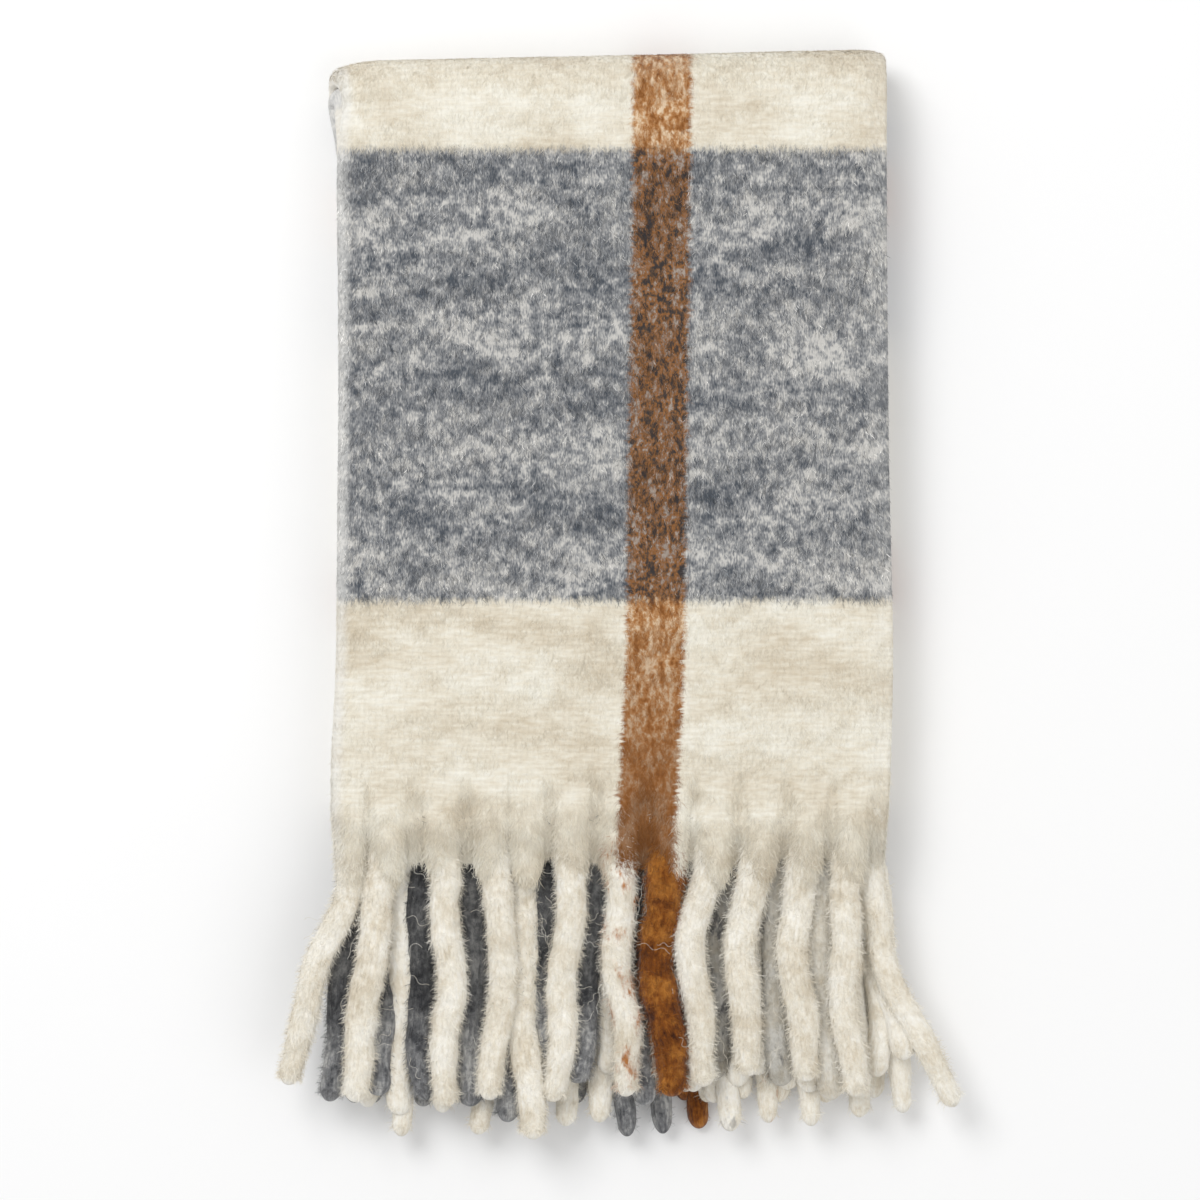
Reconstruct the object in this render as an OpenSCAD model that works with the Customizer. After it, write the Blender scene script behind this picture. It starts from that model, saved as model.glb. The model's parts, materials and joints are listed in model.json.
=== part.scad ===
// Folded throw blanket with a twisted fringe at both ends of the cloth.
// The throw lies flat on z = 0 with its last fold towards +Y and its fringes towards -Y.
// The cloth is folded in half twice across its width, which gives a strip of four plies,
// and the strip is then folded in half twice along its length, which gives four leaves.
// Plies count upwards inside a leaf, and leaves count upwards inside the stack.

/* [Cloth] */
// Width of the woven cloth, laid flat
cloth_w = 1300; // [1000:10:1500]
// Length of the woven cloth, laid flat and without its fringes
cloth_l = 1800; // [1400:10:2200]
// Thickness of one brushed ply under the weight of the others
ply_t = 2.8; // [1.5:0.1:4]
// Room between one ply and the next
ply_gap = 0.2; // [0.1:0.05:0.5]

/* [Warp stripes] */
// Middle of the ochre stripe, counted across the cloth from its first selvedge
ochre_at = 515; // [400:5:600]
// Width of the ochre stripe
ochre_w = 36; // [20:1:60]
// Middle of the slate grey stripe, counted in the same way
slate_at = 975; // [900:5:1000]
// Width of the slate grey stripe
slate_w = 350; // [200:10:400]

/* [Fringe] */
// Tassels across one folded leaf, in each ply
tassel_count = 12; // [8:1:12]
// Width of a felted tassel
tassel_w = 19.6; // [12:0.2:20]
// Reach of the front fringe past the front leaf
front_reach = 165; // [120:1:175]
// Reach of the back fringe past the back leaf
back_reach = 175; // [120:1:200]
// How far the back leaf ends lower than the front leaf
leaf_step = 15; // [5:1:25]
// Height at which the tips of the back fringe's top row lie
back_top_lie = 17; // [12:0.5:22]
// Height at which the tips of the lowest row lie
low_row_lie = 2; // [1.7:0.1:4]
// Angle by which the left corner tassel lies splayed out
left_splay = 16; // [4:0.5:24]
// Angle by which the right corner tassel lies splayed out
right_splay = 21; // [4:0.5:24]

/* [Hidden] */
$fn = 48;
PLIES = 4;
LEAVES = 4;
GROUND = 0;
UNDER = 1;
BACK = 2;
FRONT = 3;
IVORY = "ivory";
SLATE = "slategray";
OCHRE = "peru";
PALE_SLATE = "lightsteelblue";

ply_pitch = ply_t + ply_gap;
leaf_pitch = PLIES * ply_pitch;
leaf_t = leaf_pitch - ply_gap;
stack_t = LEAVES * leaf_pitch - ply_gap;
fold_r = stack_t / 2;
leaf_w = cloth_w / 4;
leaf_l = cloth_l / 4;
turn_gap = 0.3;
middle_fold_inset = 2;
selvedge_inset = 2;

// Places along Y. The whole throw, fringes and all, is centred on the origin.
throw_l = leaf_l + leaf_step + back_reach;
top_edge = throw_l / 2;
fold_y = top_edge - fold_r;
front_hem = top_edge - leaf_l;
back_hem = front_hem - leaf_step;
middle_fold_y = front_hem + leaf_t + middle_fold_inset;

// Places along X. The corner tassels reach further than the cloth, by different amounts.
pitch = leaf_w / (tassel_count + 0.5);
root_r = tassel_w / 2;
tip_share = 0.88;
tip_r = root_r * tip_share;
corner_l = front_reach - root_r - tip_r;
left_reach = corner_l * sin(left_splay) + tip_r - pitch / 2;
right_reach = corner_l * sin(right_splay) + tip_r - pitch / 2;
left_edge = -(leaf_w + left_reach + right_reach) / 2 + left_reach;
right_edge = left_edge + leaf_w;

outer_r = leaf_t / 2;
inner_r = outer_r - ply_pitch;
roll_r = ply_pitch - ply_gap / 2;
ply_left = left_edge + outer_r;
roll_right = right_edge - roll_r;
selvedge_right = right_edge - selvedge_inset;

// ---- The strip of four plies, drawn in its own section plane: X across, Y up through the leaf ----

// A strip lies one way up in the front and under leaves, and the other way up in the other two.
function face_up(leaf) = leaf == FRONT || leaf == UNDER;

module ply_section(ply, rolled) {
    right = rolled ? roll_right : selvedge_right;
    translate([ply_left, ply * ply_pitch]) square([right - ply_left, ply_t]);
}

module half_ring(r, side) {
    intersection() {
        difference() {
            circle(r);
            circle(r - ply_t);
        }
        translate([side > 0 ? 0 : -r, -r]) square([r, 2 * r]);
    }
}

module left_outer_section() translate([ply_left, outer_r]) half_ring(outer_r, -1);
module left_inner_section() translate([ply_left, outer_r]) half_ring(inner_r, -1);
module right_roll_section(up)
    translate([roll_right, (up ? 2 * ply_pitch : 0) + roll_r]) half_ring(roll_r, 1);

function is_rolled(ply, up) = up ? ply >= 2 : ply < 2;

module strip_section(up) {
    for (ply = [0 : PLIES - 1]) ply_section(ply, is_rolled(ply, up));
    left_outer_section();
    left_inner_section();
    right_roll_section(up);
}

// ---- Leaves ----

function leaf_z(leaf) = leaf * leaf_pitch;
function leaf_start(leaf) = leaf == FRONT ? front_hem : leaf == BACK ? back_hem : middle_fold_y;
function leaf_end(leaf) = fold_y - (leaf >= BACK ? turn_gap : 0);

// Runs a section along one leaf.
module along_leaf(leaf)
    translate([0, leaf_end(leaf), leaf_z(leaf)]) rotate([90, 0, 0])
        linear_extrude(leaf_end(leaf) - leaf_start(leaf)) children();

// Plies are named from the leaf's face downwards.
module leaf_ply(leaf, from_top) {
    ply = PLIES - 1 - from_top;
    color(IVORY) along_leaf(leaf) ply_section(ply, is_rolled(ply, face_up(leaf)));
}

module leaf_left_rolls(leaf) color(PALE_SLATE) along_leaf(leaf) {
    left_outer_section();
    left_inner_section();
}

module leaf_right_roll(leaf) color(PALE_SLATE) along_leaf(leaf) right_roll_section(face_up(leaf));

// ---- Folds along the length: the strip's section turned through half a circle ----

// The section starts under the axis and comes up again over it, so what was below ends on top.
module strip_turn(leaf, axis_y, axis_z, side) {
    drop = axis_z - leaf_z(leaf);
    translate([0, axis_y, axis_z]) mirror([0, side < 0 ? 1 : 0, 0])
        rotate([0, 90, 0]) rotate_extrude(angle = 180)
            rotate(90) translate([0, -drop]) strip_section(face_up(leaf));
}

module outer_top_fold() color(IVORY) strip_turn(GROUND, fold_y, fold_r, 1);
module inner_top_fold() color(PALE_SLATE) strip_turn(UNDER, fold_y, fold_r, 1);
module middle_fold() color(IVORY) strip_turn(GROUND, middle_fold_y, leaf_pitch - ply_gap / 2, -1);

// ---- Tassels: rows count downwards, four in the front fringe and four in the back fringe ----

ROWS = 8;
FRONT_ROWS = 4;
FACE = 0;
INNER_FACE = 1;
INNER_BACK = 2;

function row_is_front(row) = row < FRONT_ROWS;
function row_hem(row) = row_is_front(row) ? front_hem : back_hem;
function row_reach(row) = row_is_front(row) ? front_reach : back_reach;
function row_z(row) = stack_t - ply_t - row * ply_pitch;

// The front fringe lies on the back one, and the back fringe droops to the ground.
function row_lie(row) = row_is_front(row) ? row_z(row)
    : back_top_lie + (low_row_lie - back_top_lie) * (row - FRONT_ROWS) / (ROWS - 1 - FRONT_ROWS);
function row_droop(row) = atan((row_z(row) - row_lie(row)) / row_reach(row));

// The ply that a row grows from: the front strip lies face up, and the back strip face down.
function row_ply(row) = row_is_front(row) ? row : ROWS - 1 - row;
function tassel_x(row, i) = left_edge + pitch * (i + (row % 2 == 0 ? 0.5 : 1));

// Distance across the flat cloth from its first selvedge to the tassel. The fourth ply is the outer back.
function across_cloth(row, i) =
    let (ply = row_ply(row), from_left = tassel_x(row, i) - left_edge)
    ply == FACE ? leaf_w + from_left
    : ply == INNER_FACE ? 3 * leaf_w - from_left
    : ply == INNER_BACK ? 3 * leaf_w + from_left
    : leaf_w - from_left;

function is_ochre(row, i) = abs(across_cloth(row, i) - ochre_at) < ochre_w / 2;
function is_slate(row, i) = abs(across_cloth(row, i) - slate_at) < slate_w / 2;
function is_left_corner(row, i) = row == 0 && i == 0;
function is_right_corner(row, i) = row == 1 && i == tassel_count - 1;

// Tassels lie nearly straight, and each is turned and shortened a little differently.
// The sine of a large angle for each row and number stands in for a throw of dice.
MOST_TURN = 0.9;
TURN_BY_ROW = 131;
TURN_BY_NUMBER = 77;
MIDDLE_SHORTENING = 3;
SHORTENING_BY_ROW = 57;
SHORTENING_BY_NUMBER = 101;

function lie_angle(row, i) =
    is_left_corner(row, i) ? -left_splay
    : is_right_corner(row, i) ? right_splay
    : MOST_TURN * sin(row * TURN_BY_ROW + i * TURN_BY_NUMBER);
function shortened(row, i) =
    MIDDLE_SHORTENING * (1 + sin(row * SHORTENING_BY_ROW + i * SHORTENING_BY_NUMBER));

module tassel_bar(length) {
    cylinder(h = ply_t, r = root_r);
    translate([0, -length, 0]) cylinder(h = ply_t, r = tip_r);
    linear_extrude(ply_t) polygon([[-root_r, 0], [root_r, 0], [tip_r, -length], [-tip_r, -length]]);
}

module tassel(row, i)
    translate([0, row_hem(row), row_z(row)]) rotate([row_droop(row), 0, 0])
        translate([tassel_x(row, i), -root_r - turn_gap, 0]) rotate(lie_angle(row, i))
            tassel_bar(row_reach(row) - root_r - tip_r - turn_gap - shortened(row, i));

module tassels(row, tone) color(tone)
    for (i = [0 : tassel_count - 1])
        if (tone == (is_ochre(row, i) ? OCHRE : is_slate(row, i) ? SLATE : IVORY)
            && !is_left_corner(row, i) && !is_right_corner(row, i))
            tassel(row, i);

module left_corner_tassel() color(IVORY) tassel(0, 0);
module right_corner_tassel() color(IVORY) tassel(1, tassel_count - 1);

leaf_ply(FRONT, 0);  // front_leaf_face_ply
leaf_ply(FRONT, 1);  // front_leaf_second_ply
leaf_ply(FRONT, 2);  // front_leaf_third_ply
leaf_ply(FRONT, 3);  // front_leaf_back_ply
leaf_left_rolls(FRONT);  // front_leaf_left_rolls
leaf_right_roll(FRONT);  // front_leaf_right_roll
leaf_ply(BACK, 0);  // back_leaf_face_ply
leaf_ply(BACK, 1);  // back_leaf_second_ply
leaf_ply(BACK, 2);  // back_leaf_third_ply
leaf_ply(BACK, 3);  // back_leaf_back_ply
leaf_left_rolls(BACK);  // back_leaf_left_rolls
leaf_right_roll(BACK);  // back_leaf_right_roll
leaf_ply(UNDER, 0);  // under_leaf_face_ply
leaf_ply(UNDER, 1);  // under_leaf_second_ply
leaf_ply(UNDER, 2);  // under_leaf_third_ply
leaf_ply(UNDER, 3);  // under_leaf_back_ply
leaf_left_rolls(UNDER);  // under_leaf_left_rolls
leaf_right_roll(UNDER);  // under_leaf_right_roll
leaf_ply(GROUND, 0);  // ground_leaf_face_ply
leaf_ply(GROUND, 1);  // ground_leaf_second_ply
leaf_ply(GROUND, 2);  // ground_leaf_third_ply
leaf_ply(GROUND, 3);  // ground_leaf_back_ply
leaf_left_rolls(GROUND);  // ground_leaf_left_rolls
leaf_right_roll(GROUND);  // ground_leaf_right_roll
outer_top_fold();
inner_top_fold();
middle_fold();
tassels(0, IVORY);  // front_row_1_ivory_tassels
tassels(0, OCHRE);  // front_row_1_ochre_tassel
left_corner_tassel();
tassels(1, IVORY);  // front_row_2_ivory_tassels
tassels(1, SLATE);  // front_row_2_slate_tassels
right_corner_tassel();
tassels(2, IVORY);  // front_row_3_ivory_tassels
tassels(2, SLATE);  // front_row_3_slate_tassels
tassels(3, IVORY);  // front_row_4_ivory_tassels
tassels(4, IVORY);  // back_row_1_ivory_tassels
tassels(5, IVORY);  // back_row_2_ivory_tassels
tassels(5, SLATE);  // back_row_2_slate_tassels
tassels(6, IVORY);  // back_row_3_ivory_tassels
tassels(6, SLATE);  // back_row_3_slate_tassels
tassels(7, IVORY);  // back_row_4_ivory_tassels
tassels(7, OCHRE);  // back_row_4_ochre_tassel
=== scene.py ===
"""A brushed plaid throw, folded flat into four leaves, with its twisted fringes.

The cloth is one sheet. It is folded in half twice across its width, which gives a strip of four
plies, and the strip is folded in half twice along its length, which gives four leaves. Every woven
point carries its place in the flat cloth, so that one plaid runs through all leaves and folds.
"""

import json
import logging
import math
from dataclasses import dataclass
from enum import Enum

import bpy
import numpy as np
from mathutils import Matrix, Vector


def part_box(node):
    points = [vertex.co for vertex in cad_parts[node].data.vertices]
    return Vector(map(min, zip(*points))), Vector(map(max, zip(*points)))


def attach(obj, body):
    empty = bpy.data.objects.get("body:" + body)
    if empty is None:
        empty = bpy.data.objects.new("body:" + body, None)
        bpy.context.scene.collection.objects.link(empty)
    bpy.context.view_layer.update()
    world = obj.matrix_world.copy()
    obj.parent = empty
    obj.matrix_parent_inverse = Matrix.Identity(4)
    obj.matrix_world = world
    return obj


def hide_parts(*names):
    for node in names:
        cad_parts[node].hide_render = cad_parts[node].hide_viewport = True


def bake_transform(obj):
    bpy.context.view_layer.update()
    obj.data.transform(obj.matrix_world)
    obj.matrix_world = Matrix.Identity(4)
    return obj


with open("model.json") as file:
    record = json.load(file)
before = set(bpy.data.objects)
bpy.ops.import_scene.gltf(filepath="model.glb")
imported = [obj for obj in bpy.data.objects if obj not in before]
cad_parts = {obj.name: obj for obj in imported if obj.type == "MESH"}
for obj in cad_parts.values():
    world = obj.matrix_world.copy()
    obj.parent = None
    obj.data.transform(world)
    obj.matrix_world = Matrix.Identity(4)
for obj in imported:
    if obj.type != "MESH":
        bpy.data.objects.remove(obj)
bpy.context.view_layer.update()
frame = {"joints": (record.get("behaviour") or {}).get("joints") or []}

MM = 0.001
CLOTH_WIDTH = 1.300
THICKNESS = 2.7 * MM
RIM_STEPS = np.array([0.0, 0.1, 0.4, 0.9]) * THICKNESS / 2
SEAM = 0.03 * MM
ABOVE_FLOOR = 0.1 * MM
FIBRE_POINTS = 5
NO_TRIANGLES = np.zeros((0, 3), int)
SEED = 20

log = logging.getLogger("throw")


# ---- Small helpers for arrays of points ----


def smooth(value: np.ndarray) -> np.ndarray:
    """Ease a value from 0 to 1, flat at both ends."""
    t = np.clip(value, 0.0, 1.0)
    return t * t * (3.0 - 2.0 * t)


def bump(value: np.ndarray, middle: float, reach: float) -> np.ndarray:
    """Give a bell of height 1 around its middle."""
    return np.exp(-(((value - middle) / reach) ** 2))


def unit(vectors: np.ndarray) -> np.ndarray:
    """Scale rows of vectors to length 1."""
    return vectors / np.maximum(np.linalg.norm(vectors, axis=-1, keepdims=True), 1e-12)


class Ripple:
    """A soft, seeded unevenness over the plane, a sum of a few long waves."""

    def __init__(self, seed: int, wavelength: float, waves: int = 9) -> None:
        """Draw the waves.

        Args:
            seed: Fixes the waves, so that each run gives the same ones.
            wavelength: Typical distance from crest to crest, in metres.
            waves: How many waves are added up.
        """
        rng = np.random.default_rng(seed)
        angle = rng.uniform(0, math.pi, waves)
        size = 2 * math.pi / (wavelength * rng.uniform(0.6, 1.7, waves))
        self.kx, self.ky = size * np.cos(angle), size * np.sin(angle)
        self.phase = rng.uniform(0, 2 * math.pi, waves)

    def at(self, x: np.ndarray, y: np.ndarray) -> np.ndarray:
        """Return the unevenness at points, about -1 to 1."""
        total = np.zeros(np.broadcast(x, y).shape)
        for kx, ky, phase in zip(self.kx, self.ky, self.phase):
            total = total + np.sin(kx * x + ky * y + phase)
        return total / math.sqrt(2.0 * len(self.phase))


# ---- The folded stack ----


class Leaf(Enum):
    """The four leaves of the stack, counted from the ground."""

    GROUND = 0
    UNDER = 1
    BACK = 2
    FRONT = 3

    @property
    def face_up(self) -> bool:
        """Tell whether the strip lies face up in this leaf."""
        return self in (Leaf.FRONT, Leaf.UNDER)

    @property
    def upper(self) -> bool:
        """Tell whether the leaf swings up when the throw is opened."""
        return self in (Leaf.FRONT, Leaf.BACK)

    @property
    def label(self) -> str:
        """Return the leaf's name in lower case."""
        return self.name.lower()


class Tone(Enum):
    """The three yarn colours of the fringe."""

    IVORY = "ivory"
    SLATE = "slate"
    OCHRE = "ochre"


@dataclass(frozen=True)
class Bulge:
    """A gentle curve of a line: how far it goes off, where its middle is, and how far it reaches."""

    height: float
    middle: float
    reach: float

    def at(self, place: np.ndarray) -> np.ndarray:
        """Return how far the line goes off at places along it."""
        return self.height * bump(place, self.middle, self.reach)


@dataclass(frozen=True)
class Stack:
    """Sizes of the folded throw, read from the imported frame, in metres."""

    left: float
    right: float
    height: float
    ply_pitch: float
    leaf_pitch: float
    leaf_height: float
    ply_thickness: float
    fold_y: float
    fold_z: float
    front_hem: float
    back_hem: float
    middle_y: float

    @classmethod
    def from_frame(cls) -> "Stack":
        """Read the sizes from the CAD nodes and the hinge of the top fold."""
        hinge = next(j for j in frame["joints"] if j["name"] == "top_fold")
        face_low, face_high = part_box("front_leaf_face_ply")
        second_low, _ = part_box("front_leaf_second_ply")
        back_face_low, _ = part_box("back_leaf_face_ply")
        ground_low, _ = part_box("ground_leaf_back_ply")
        return cls(
            left=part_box("front_leaf_left_rolls")[0].x,
            right=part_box("front_leaf_right_roll")[1].x,
            height=face_high.z,
            ply_pitch=face_low.z - second_low.z,
            leaf_pitch=face_low.z - back_face_low.z,
            leaf_height=face_high.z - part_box("front_leaf_back_ply")[0].z,
            ply_thickness=face_high.z - face_low.z,
            fold_y=hinge["pos_m"][1],
            fold_z=hinge["pos_m"][2],
            front_hem=face_low.y,
            back_hem=back_face_low.y,
            middle_y=ground_low.y,
        )

    @property
    def width(self) -> float:
        """Return the width of a leaf."""
        return self.right - self.left

    def leaf_z(self, leaf: Leaf) -> float:
        """Return the height of a leaf's underside."""
        return leaf.value * self.leaf_pitch

    def fold_line(self, x: np.ndarray) -> np.ndarray:
        """Return where the top fold turns: it runs a little askew and rounds off at its ends."""
        across = (x - self.left) / self.width
        askew = -5.5 * MM + 8.5 * MM * smooth(across * 0.9 + 0.05)
        rounded = Bulge(-7 * MM, 1.03, 0.035).at(across) + Bulge(-7 * MM, -0.03, 0.06).at(across)
        further = 2.3 * MM + 1.8 * MM * smooth(1.4 - 2 * across)
        return self.fold_y + askew + rounded + further

    def seam_line(self, x: np.ndarray) -> np.ndarray:
        """Return where the flat leaves end and the top fold starts, never past the hinge."""
        return np.minimum(self.fold_line(x), self.fold_y - SEAM)


class StripSection:
    """The line that the cloth's width follows inside one leaf.

    From the first selvedge it runs to the left, round the outer left roll, back to the right on the
    face, round the right roll, to the left again inside, round the inner left roll and out to the
    second selvedge.
    """

    ARC_STEPS = 24
    SELVEDGE_INSET = 2 * MM
    LEAST_STEP = 0.12 * MM

    def __init__(self, stack: Stack) -> None:
        """Lay out the four plies and three rolls for a strip that lies face up."""
        pitch, half = stack.ply_pitch, stack.ply_thickness / 2
        outer = 1.5 * pitch
        small = 0.5 * pitch
        start_left = stack.left + half + outer
        roll_right = stack.right - half - small
        selvedge = stack.right - self.SELVEDGE_INSET
        middle = stack.leaf_height / 2
        levels = [half + pitch * k for k in range(4)]
        points: list[tuple[float, float, float]] = []
        points += [(selvedge, levels[0], 270.0), (start_left, levels[0], 270.0)]
        points += self._arc(start_left, middle, outer, 270, 90, 270, 90)
        points += [(start_left, levels[3], 90.0), (roll_right, levels[3], 90.0)]
        points += self._arc(roll_right, levels[2] + small, small, 90, -90, 90, -90)
        points += [(roll_right, levels[2], -90.0), (start_left, levels[2], -90.0)]
        points += self._arc(start_left, middle, small, 90, 270, -90, 90)
        points += [(start_left, levels[1], 90.0), (selvedge, levels[1], 90.0)]
        table = np.array(points)
        steps = np.hypot(np.diff(table[:, 0]), np.diff(table[:, 1]))
        length = np.concatenate([[0.0], np.cumsum(steps)])
        self.leaf_height = stack.leaf_height
        self.w = length * (CLOTH_WIDTH / length[-1])
        self.x, self.z, self.angle = table[:, 0], table[:, 1], np.radians(table[:, 2])

    def _arc(
        self, cx: float, cz: float, radius: float, a0: float, a1: float, n0: float, n1: float
    ) -> list[tuple[float, float, float]]:
        """Return the points of a half turn, each with the angle of the cloth's face."""
        rows = []
        for i in range(self.ARC_STEPS + 1):
            t = i / self.ARC_STEPS
            a = math.radians(a0 + (a1 - a0) * t)
            x, z = cx + radius * math.cos(a), cz + radius * math.sin(a)
            rows.append((x, z, n0 + (n1 - n0) * t))
        return rows

    def at(self, w: np.ndarray, face_up: bool) -> tuple[np.ndarray, ...]:
        """Place points of the cloth's width in the leaf.

        Args:
            w: Distance across the flat cloth from its first selvedge, in metres.
            face_up: Whether the strip lies face up in this leaf.

        Returns:
            x, height above the leaf's underside, and the face's direction along x and z.
        """
        x, z = np.interp(w, self.w, self.x), np.interp(w, self.w, self.z)
        angle = np.interp(w, self.w, self.angle)
        nx, nz = np.cos(angle), np.sin(angle)
        if face_up:
            return x, z, nx, nz
        return x, self.leaf_height - z, nx, -nz

    def _turns(self) -> np.ndarray:
        """Return the numbers of the short stretches of the line that lie in rolls."""
        return np.flatnonzero(np.abs(np.diff(self.angle)) > 1e-6)

    def grid(self, face_step: float, hidden_step: float) -> np.ndarray:
        """Return the lines of a mesh across the cloth, close together on the face and at turns."""
        turns = self._turns()
        lines = [self.w[turns], self.w[turns + 1]]
        face = (self.w[turns[self.ARC_STEPS - 1] + 1], self.w[turns[self.ARC_STEPS]])
        lines.append(np.arange(face[0], face[1], face_step))
        lines.append(np.arange(0.0, CLOTH_WIDTH, hidden_step))
        lines.append(RIM_STEPS)
        lines.append(CLOTH_WIDTH - lines[-1])
        values = np.unique(np.round(np.concatenate(lines), 5))
        apart = np.concatenate([[True], np.diff(values) > self.LEAST_STEP])
        return values[apart]

    def face_span(self) -> tuple[float, float]:
        """Return the first and last distance across the cloth that show on the leaf's face."""
        turns = self._turns()
        middle_left = turns[self.ARC_STEPS // 2]
        middle_right = turns[self.ARC_STEPS + self.ARC_STEPS // 2]
        return float(self.w[middle_left]), float(self.w[middle_right])


class Settling:
    """How the soft stack departs from its straight plan: wavy sides, low swells and a flared corner."""

    LEFT_SIDE = (
        Bulge(-3.4 * MM, -0.112, 0.055),
        Bulge(1.2 * MM, 0.14, 0.09),
        Bulge(-1.6 * MM, 0.312, 0.03),
    )
    RIGHT_SIDE = (
        Bulge(2.6 * MM, -0.035, 0.085),
        Bulge(-1.2 * MM, 0.26, 0.1),
        Bulge(-2.6 * MM, -0.165, 0.04),
    )
    LOW_LEFT = (Bulge(1.7 * MM, 0.240, 0.03),)
    LOW_RIGHT = (Bulge(2.0 * MM, 0.268, 0.03), Bulge(2.6 * MM, 0.008, 0.035))
    EAR = Bulge(1.0, 0.295, 0.024)
    EAR_DRAWN_IN = 4.5 * MM
    EAR_PUSHED_OUT = 5.5 * MM
    SWELL_HEIGHT = 1.3 * MM
    CRUMPLE_HEIGHT = 0.42 * MM
    EDGE_SAG = 2.2 * MM
    EDGE_REACH = 16 * MM
    LEAST_HEIGHT = 0.35 * MM
    RIDGE_REACH = 26 * MM
    RIDGE_HEIGHT = 1.7 * MM
    RIDGE_WIDTH = 10.4 * MM
    RIDGE_SINK = 0.4 * MM
    SINK_REACH = 34 * MM
    TUCK_DEPTH = 3.0 * MM
    TUCK_REACH = 8 * MM
    HOLLOW_DEPTH = 5.5 * MM
    HOLLOW_REACH = 30 * MM
    # Painted shade: how much darker the face ply is painted in the hollows between the tassels.
    HOLLOW_SHADE = 0.26
    WEB_IN_HOLLOW = 25 * MM
    WEB_ON_RIDGE = 15 * MM

    def __init__(self, stack: Stack, ridges: list[float]) -> None:
        """Keep the plan and the places of the hem's ridges.

        Args:
            stack: Sizes of the folded throw.
            ridges: Where the front tassels leave the hem, along x.
        """
        self.stack = stack
        self.ridges = np.array(ridges)
        self.swell = Ripple(SEED + 1, 95 * MM)
        self.crumple = Ripple(SEED + 2, 21 * MM, waves=14)

    @staticmethod
    def _total(bulges: tuple[Bulge, ...], place: np.ndarray) -> np.ndarray:
        """Return how far several bulges go off together."""
        return sum(bulge.at(place) for bulge in bulges)

    def side(self, x: np.ndarray, y: np.ndarray) -> np.ndarray:
        """Return the sideways shift from the wavy sides, shared out across the cloth."""
        across = np.clip((x - self.stack.left) / self.stack.width, 0.0, 1.0)
        return self._total(self.LEFT_SIDE, y) * (1 - across) + self._total(self.RIGHT_SIDE, y) * across

    def low(self, y: np.ndarray, across: np.ndarray, level: np.ndarray) -> np.ndarray:
        """Return the sideways shift of the lowest layers, which peep out on both sides."""
        right = self._total(self.LOW_RIGHT, y) * smooth(across * 6 - 5)
        left = self._total(self.LOW_LEFT, y) * (1 - smooth(across * 6))
        return (1 - level) * (right - left)

    def ear(self, y: np.ndarray, across: np.ndarray, level: np.ndarray) -> np.ndarray:
        """Return the sideways shift at the fold's left end, where low plies stand out from under the top."""
        drawn_in = self.EAR_DRAWN_IN * smooth((level - 0.62) / 0.24)
        pushed_out = self.EAR_PUSHED_OUT * (1 - smooth((level - 0.38) / 0.34))
        return (drawn_in - pushed_out) * self.EAR.at(y) * (1 - smooth(across * 7))

    def rise(self, x: np.ndarray, y: np.ndarray) -> np.ndarray:
        """Return the soft swells and crumples of the top face."""
        return self.SWELL_HEIGHT * self.swell.at(x, y) + self.CRUMPLE_HEIGHT * self.crumple.at(x, y)

    def _over_ridge(self, settled_x: np.ndarray) -> np.ndarray:
        """Return the rounded section of the tassels at settled places: 1 over each and 0 between."""
        away = np.full_like(settled_x, self.stack.width)
        for at in self.ridges:
            away = np.minimum(away, np.abs(settled_x - at))
        return np.sqrt(np.clip(1 - (away / self.RIDGE_WIDTH) ** 2, 0, 1))

    def crest(self, x: np.ndarray) -> np.ndarray:
        """Return the rounded section of the tassels that leave the hem, at places of the plan."""
        return self._over_ridge(x + self.side(x, self.stack.front_hem - 15 * MM))

    def web(self, x: np.ndarray) -> np.ndarray:
        """Return how far the face ply reaches past the hem, where it gathers into the tassels."""
        ragged = 2.5 * MM * self.crumple.at(x, 0 * x)
        return self.WEB_IN_HOLLOW + ragged + self.WEB_ON_RIDGE * self.crest(x)

    def hem_relief(self, x: np.ndarray, y: np.ndarray) -> np.ndarray:
        """Return the rise of the face ply over each tassel, and its hollows between tassels."""
        past = self.stack.front_hem - y
        near = smooth(1.0 + past / self.RIDGE_REACH)
        crest = self.crest(x)
        tuck = smooth((past - self.web(x) + self.TUCK_REACH) / self.TUCK_REACH)
        ridge = self.RIDGE_HEIGHT * near - self.RIDGE_SINK * smooth(past / self.SINK_REACH)
        hollow = 0.5 * MM * near + self.HOLLOW_DEPTH * smooth(past / self.HOLLOW_REACH)
        return crest * (ridge - self.TUCK_DEPTH * tuck) - (1 - crest) * hollow

    def painted_hollow_shade(self, points: np.ndarray) -> np.ndarray:
        """Return the painted shade of settled points of the face ply: 1, and less in the hollows between the
        tassels.
        """
        past = smooth((self.stack.front_hem + 8 * MM - points[:, 1]) / self.HOLLOW_REACH)
        return 1 - self.HOLLOW_SHADE * (1 - self._over_ridge(points[:, 0])) * past

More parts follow.
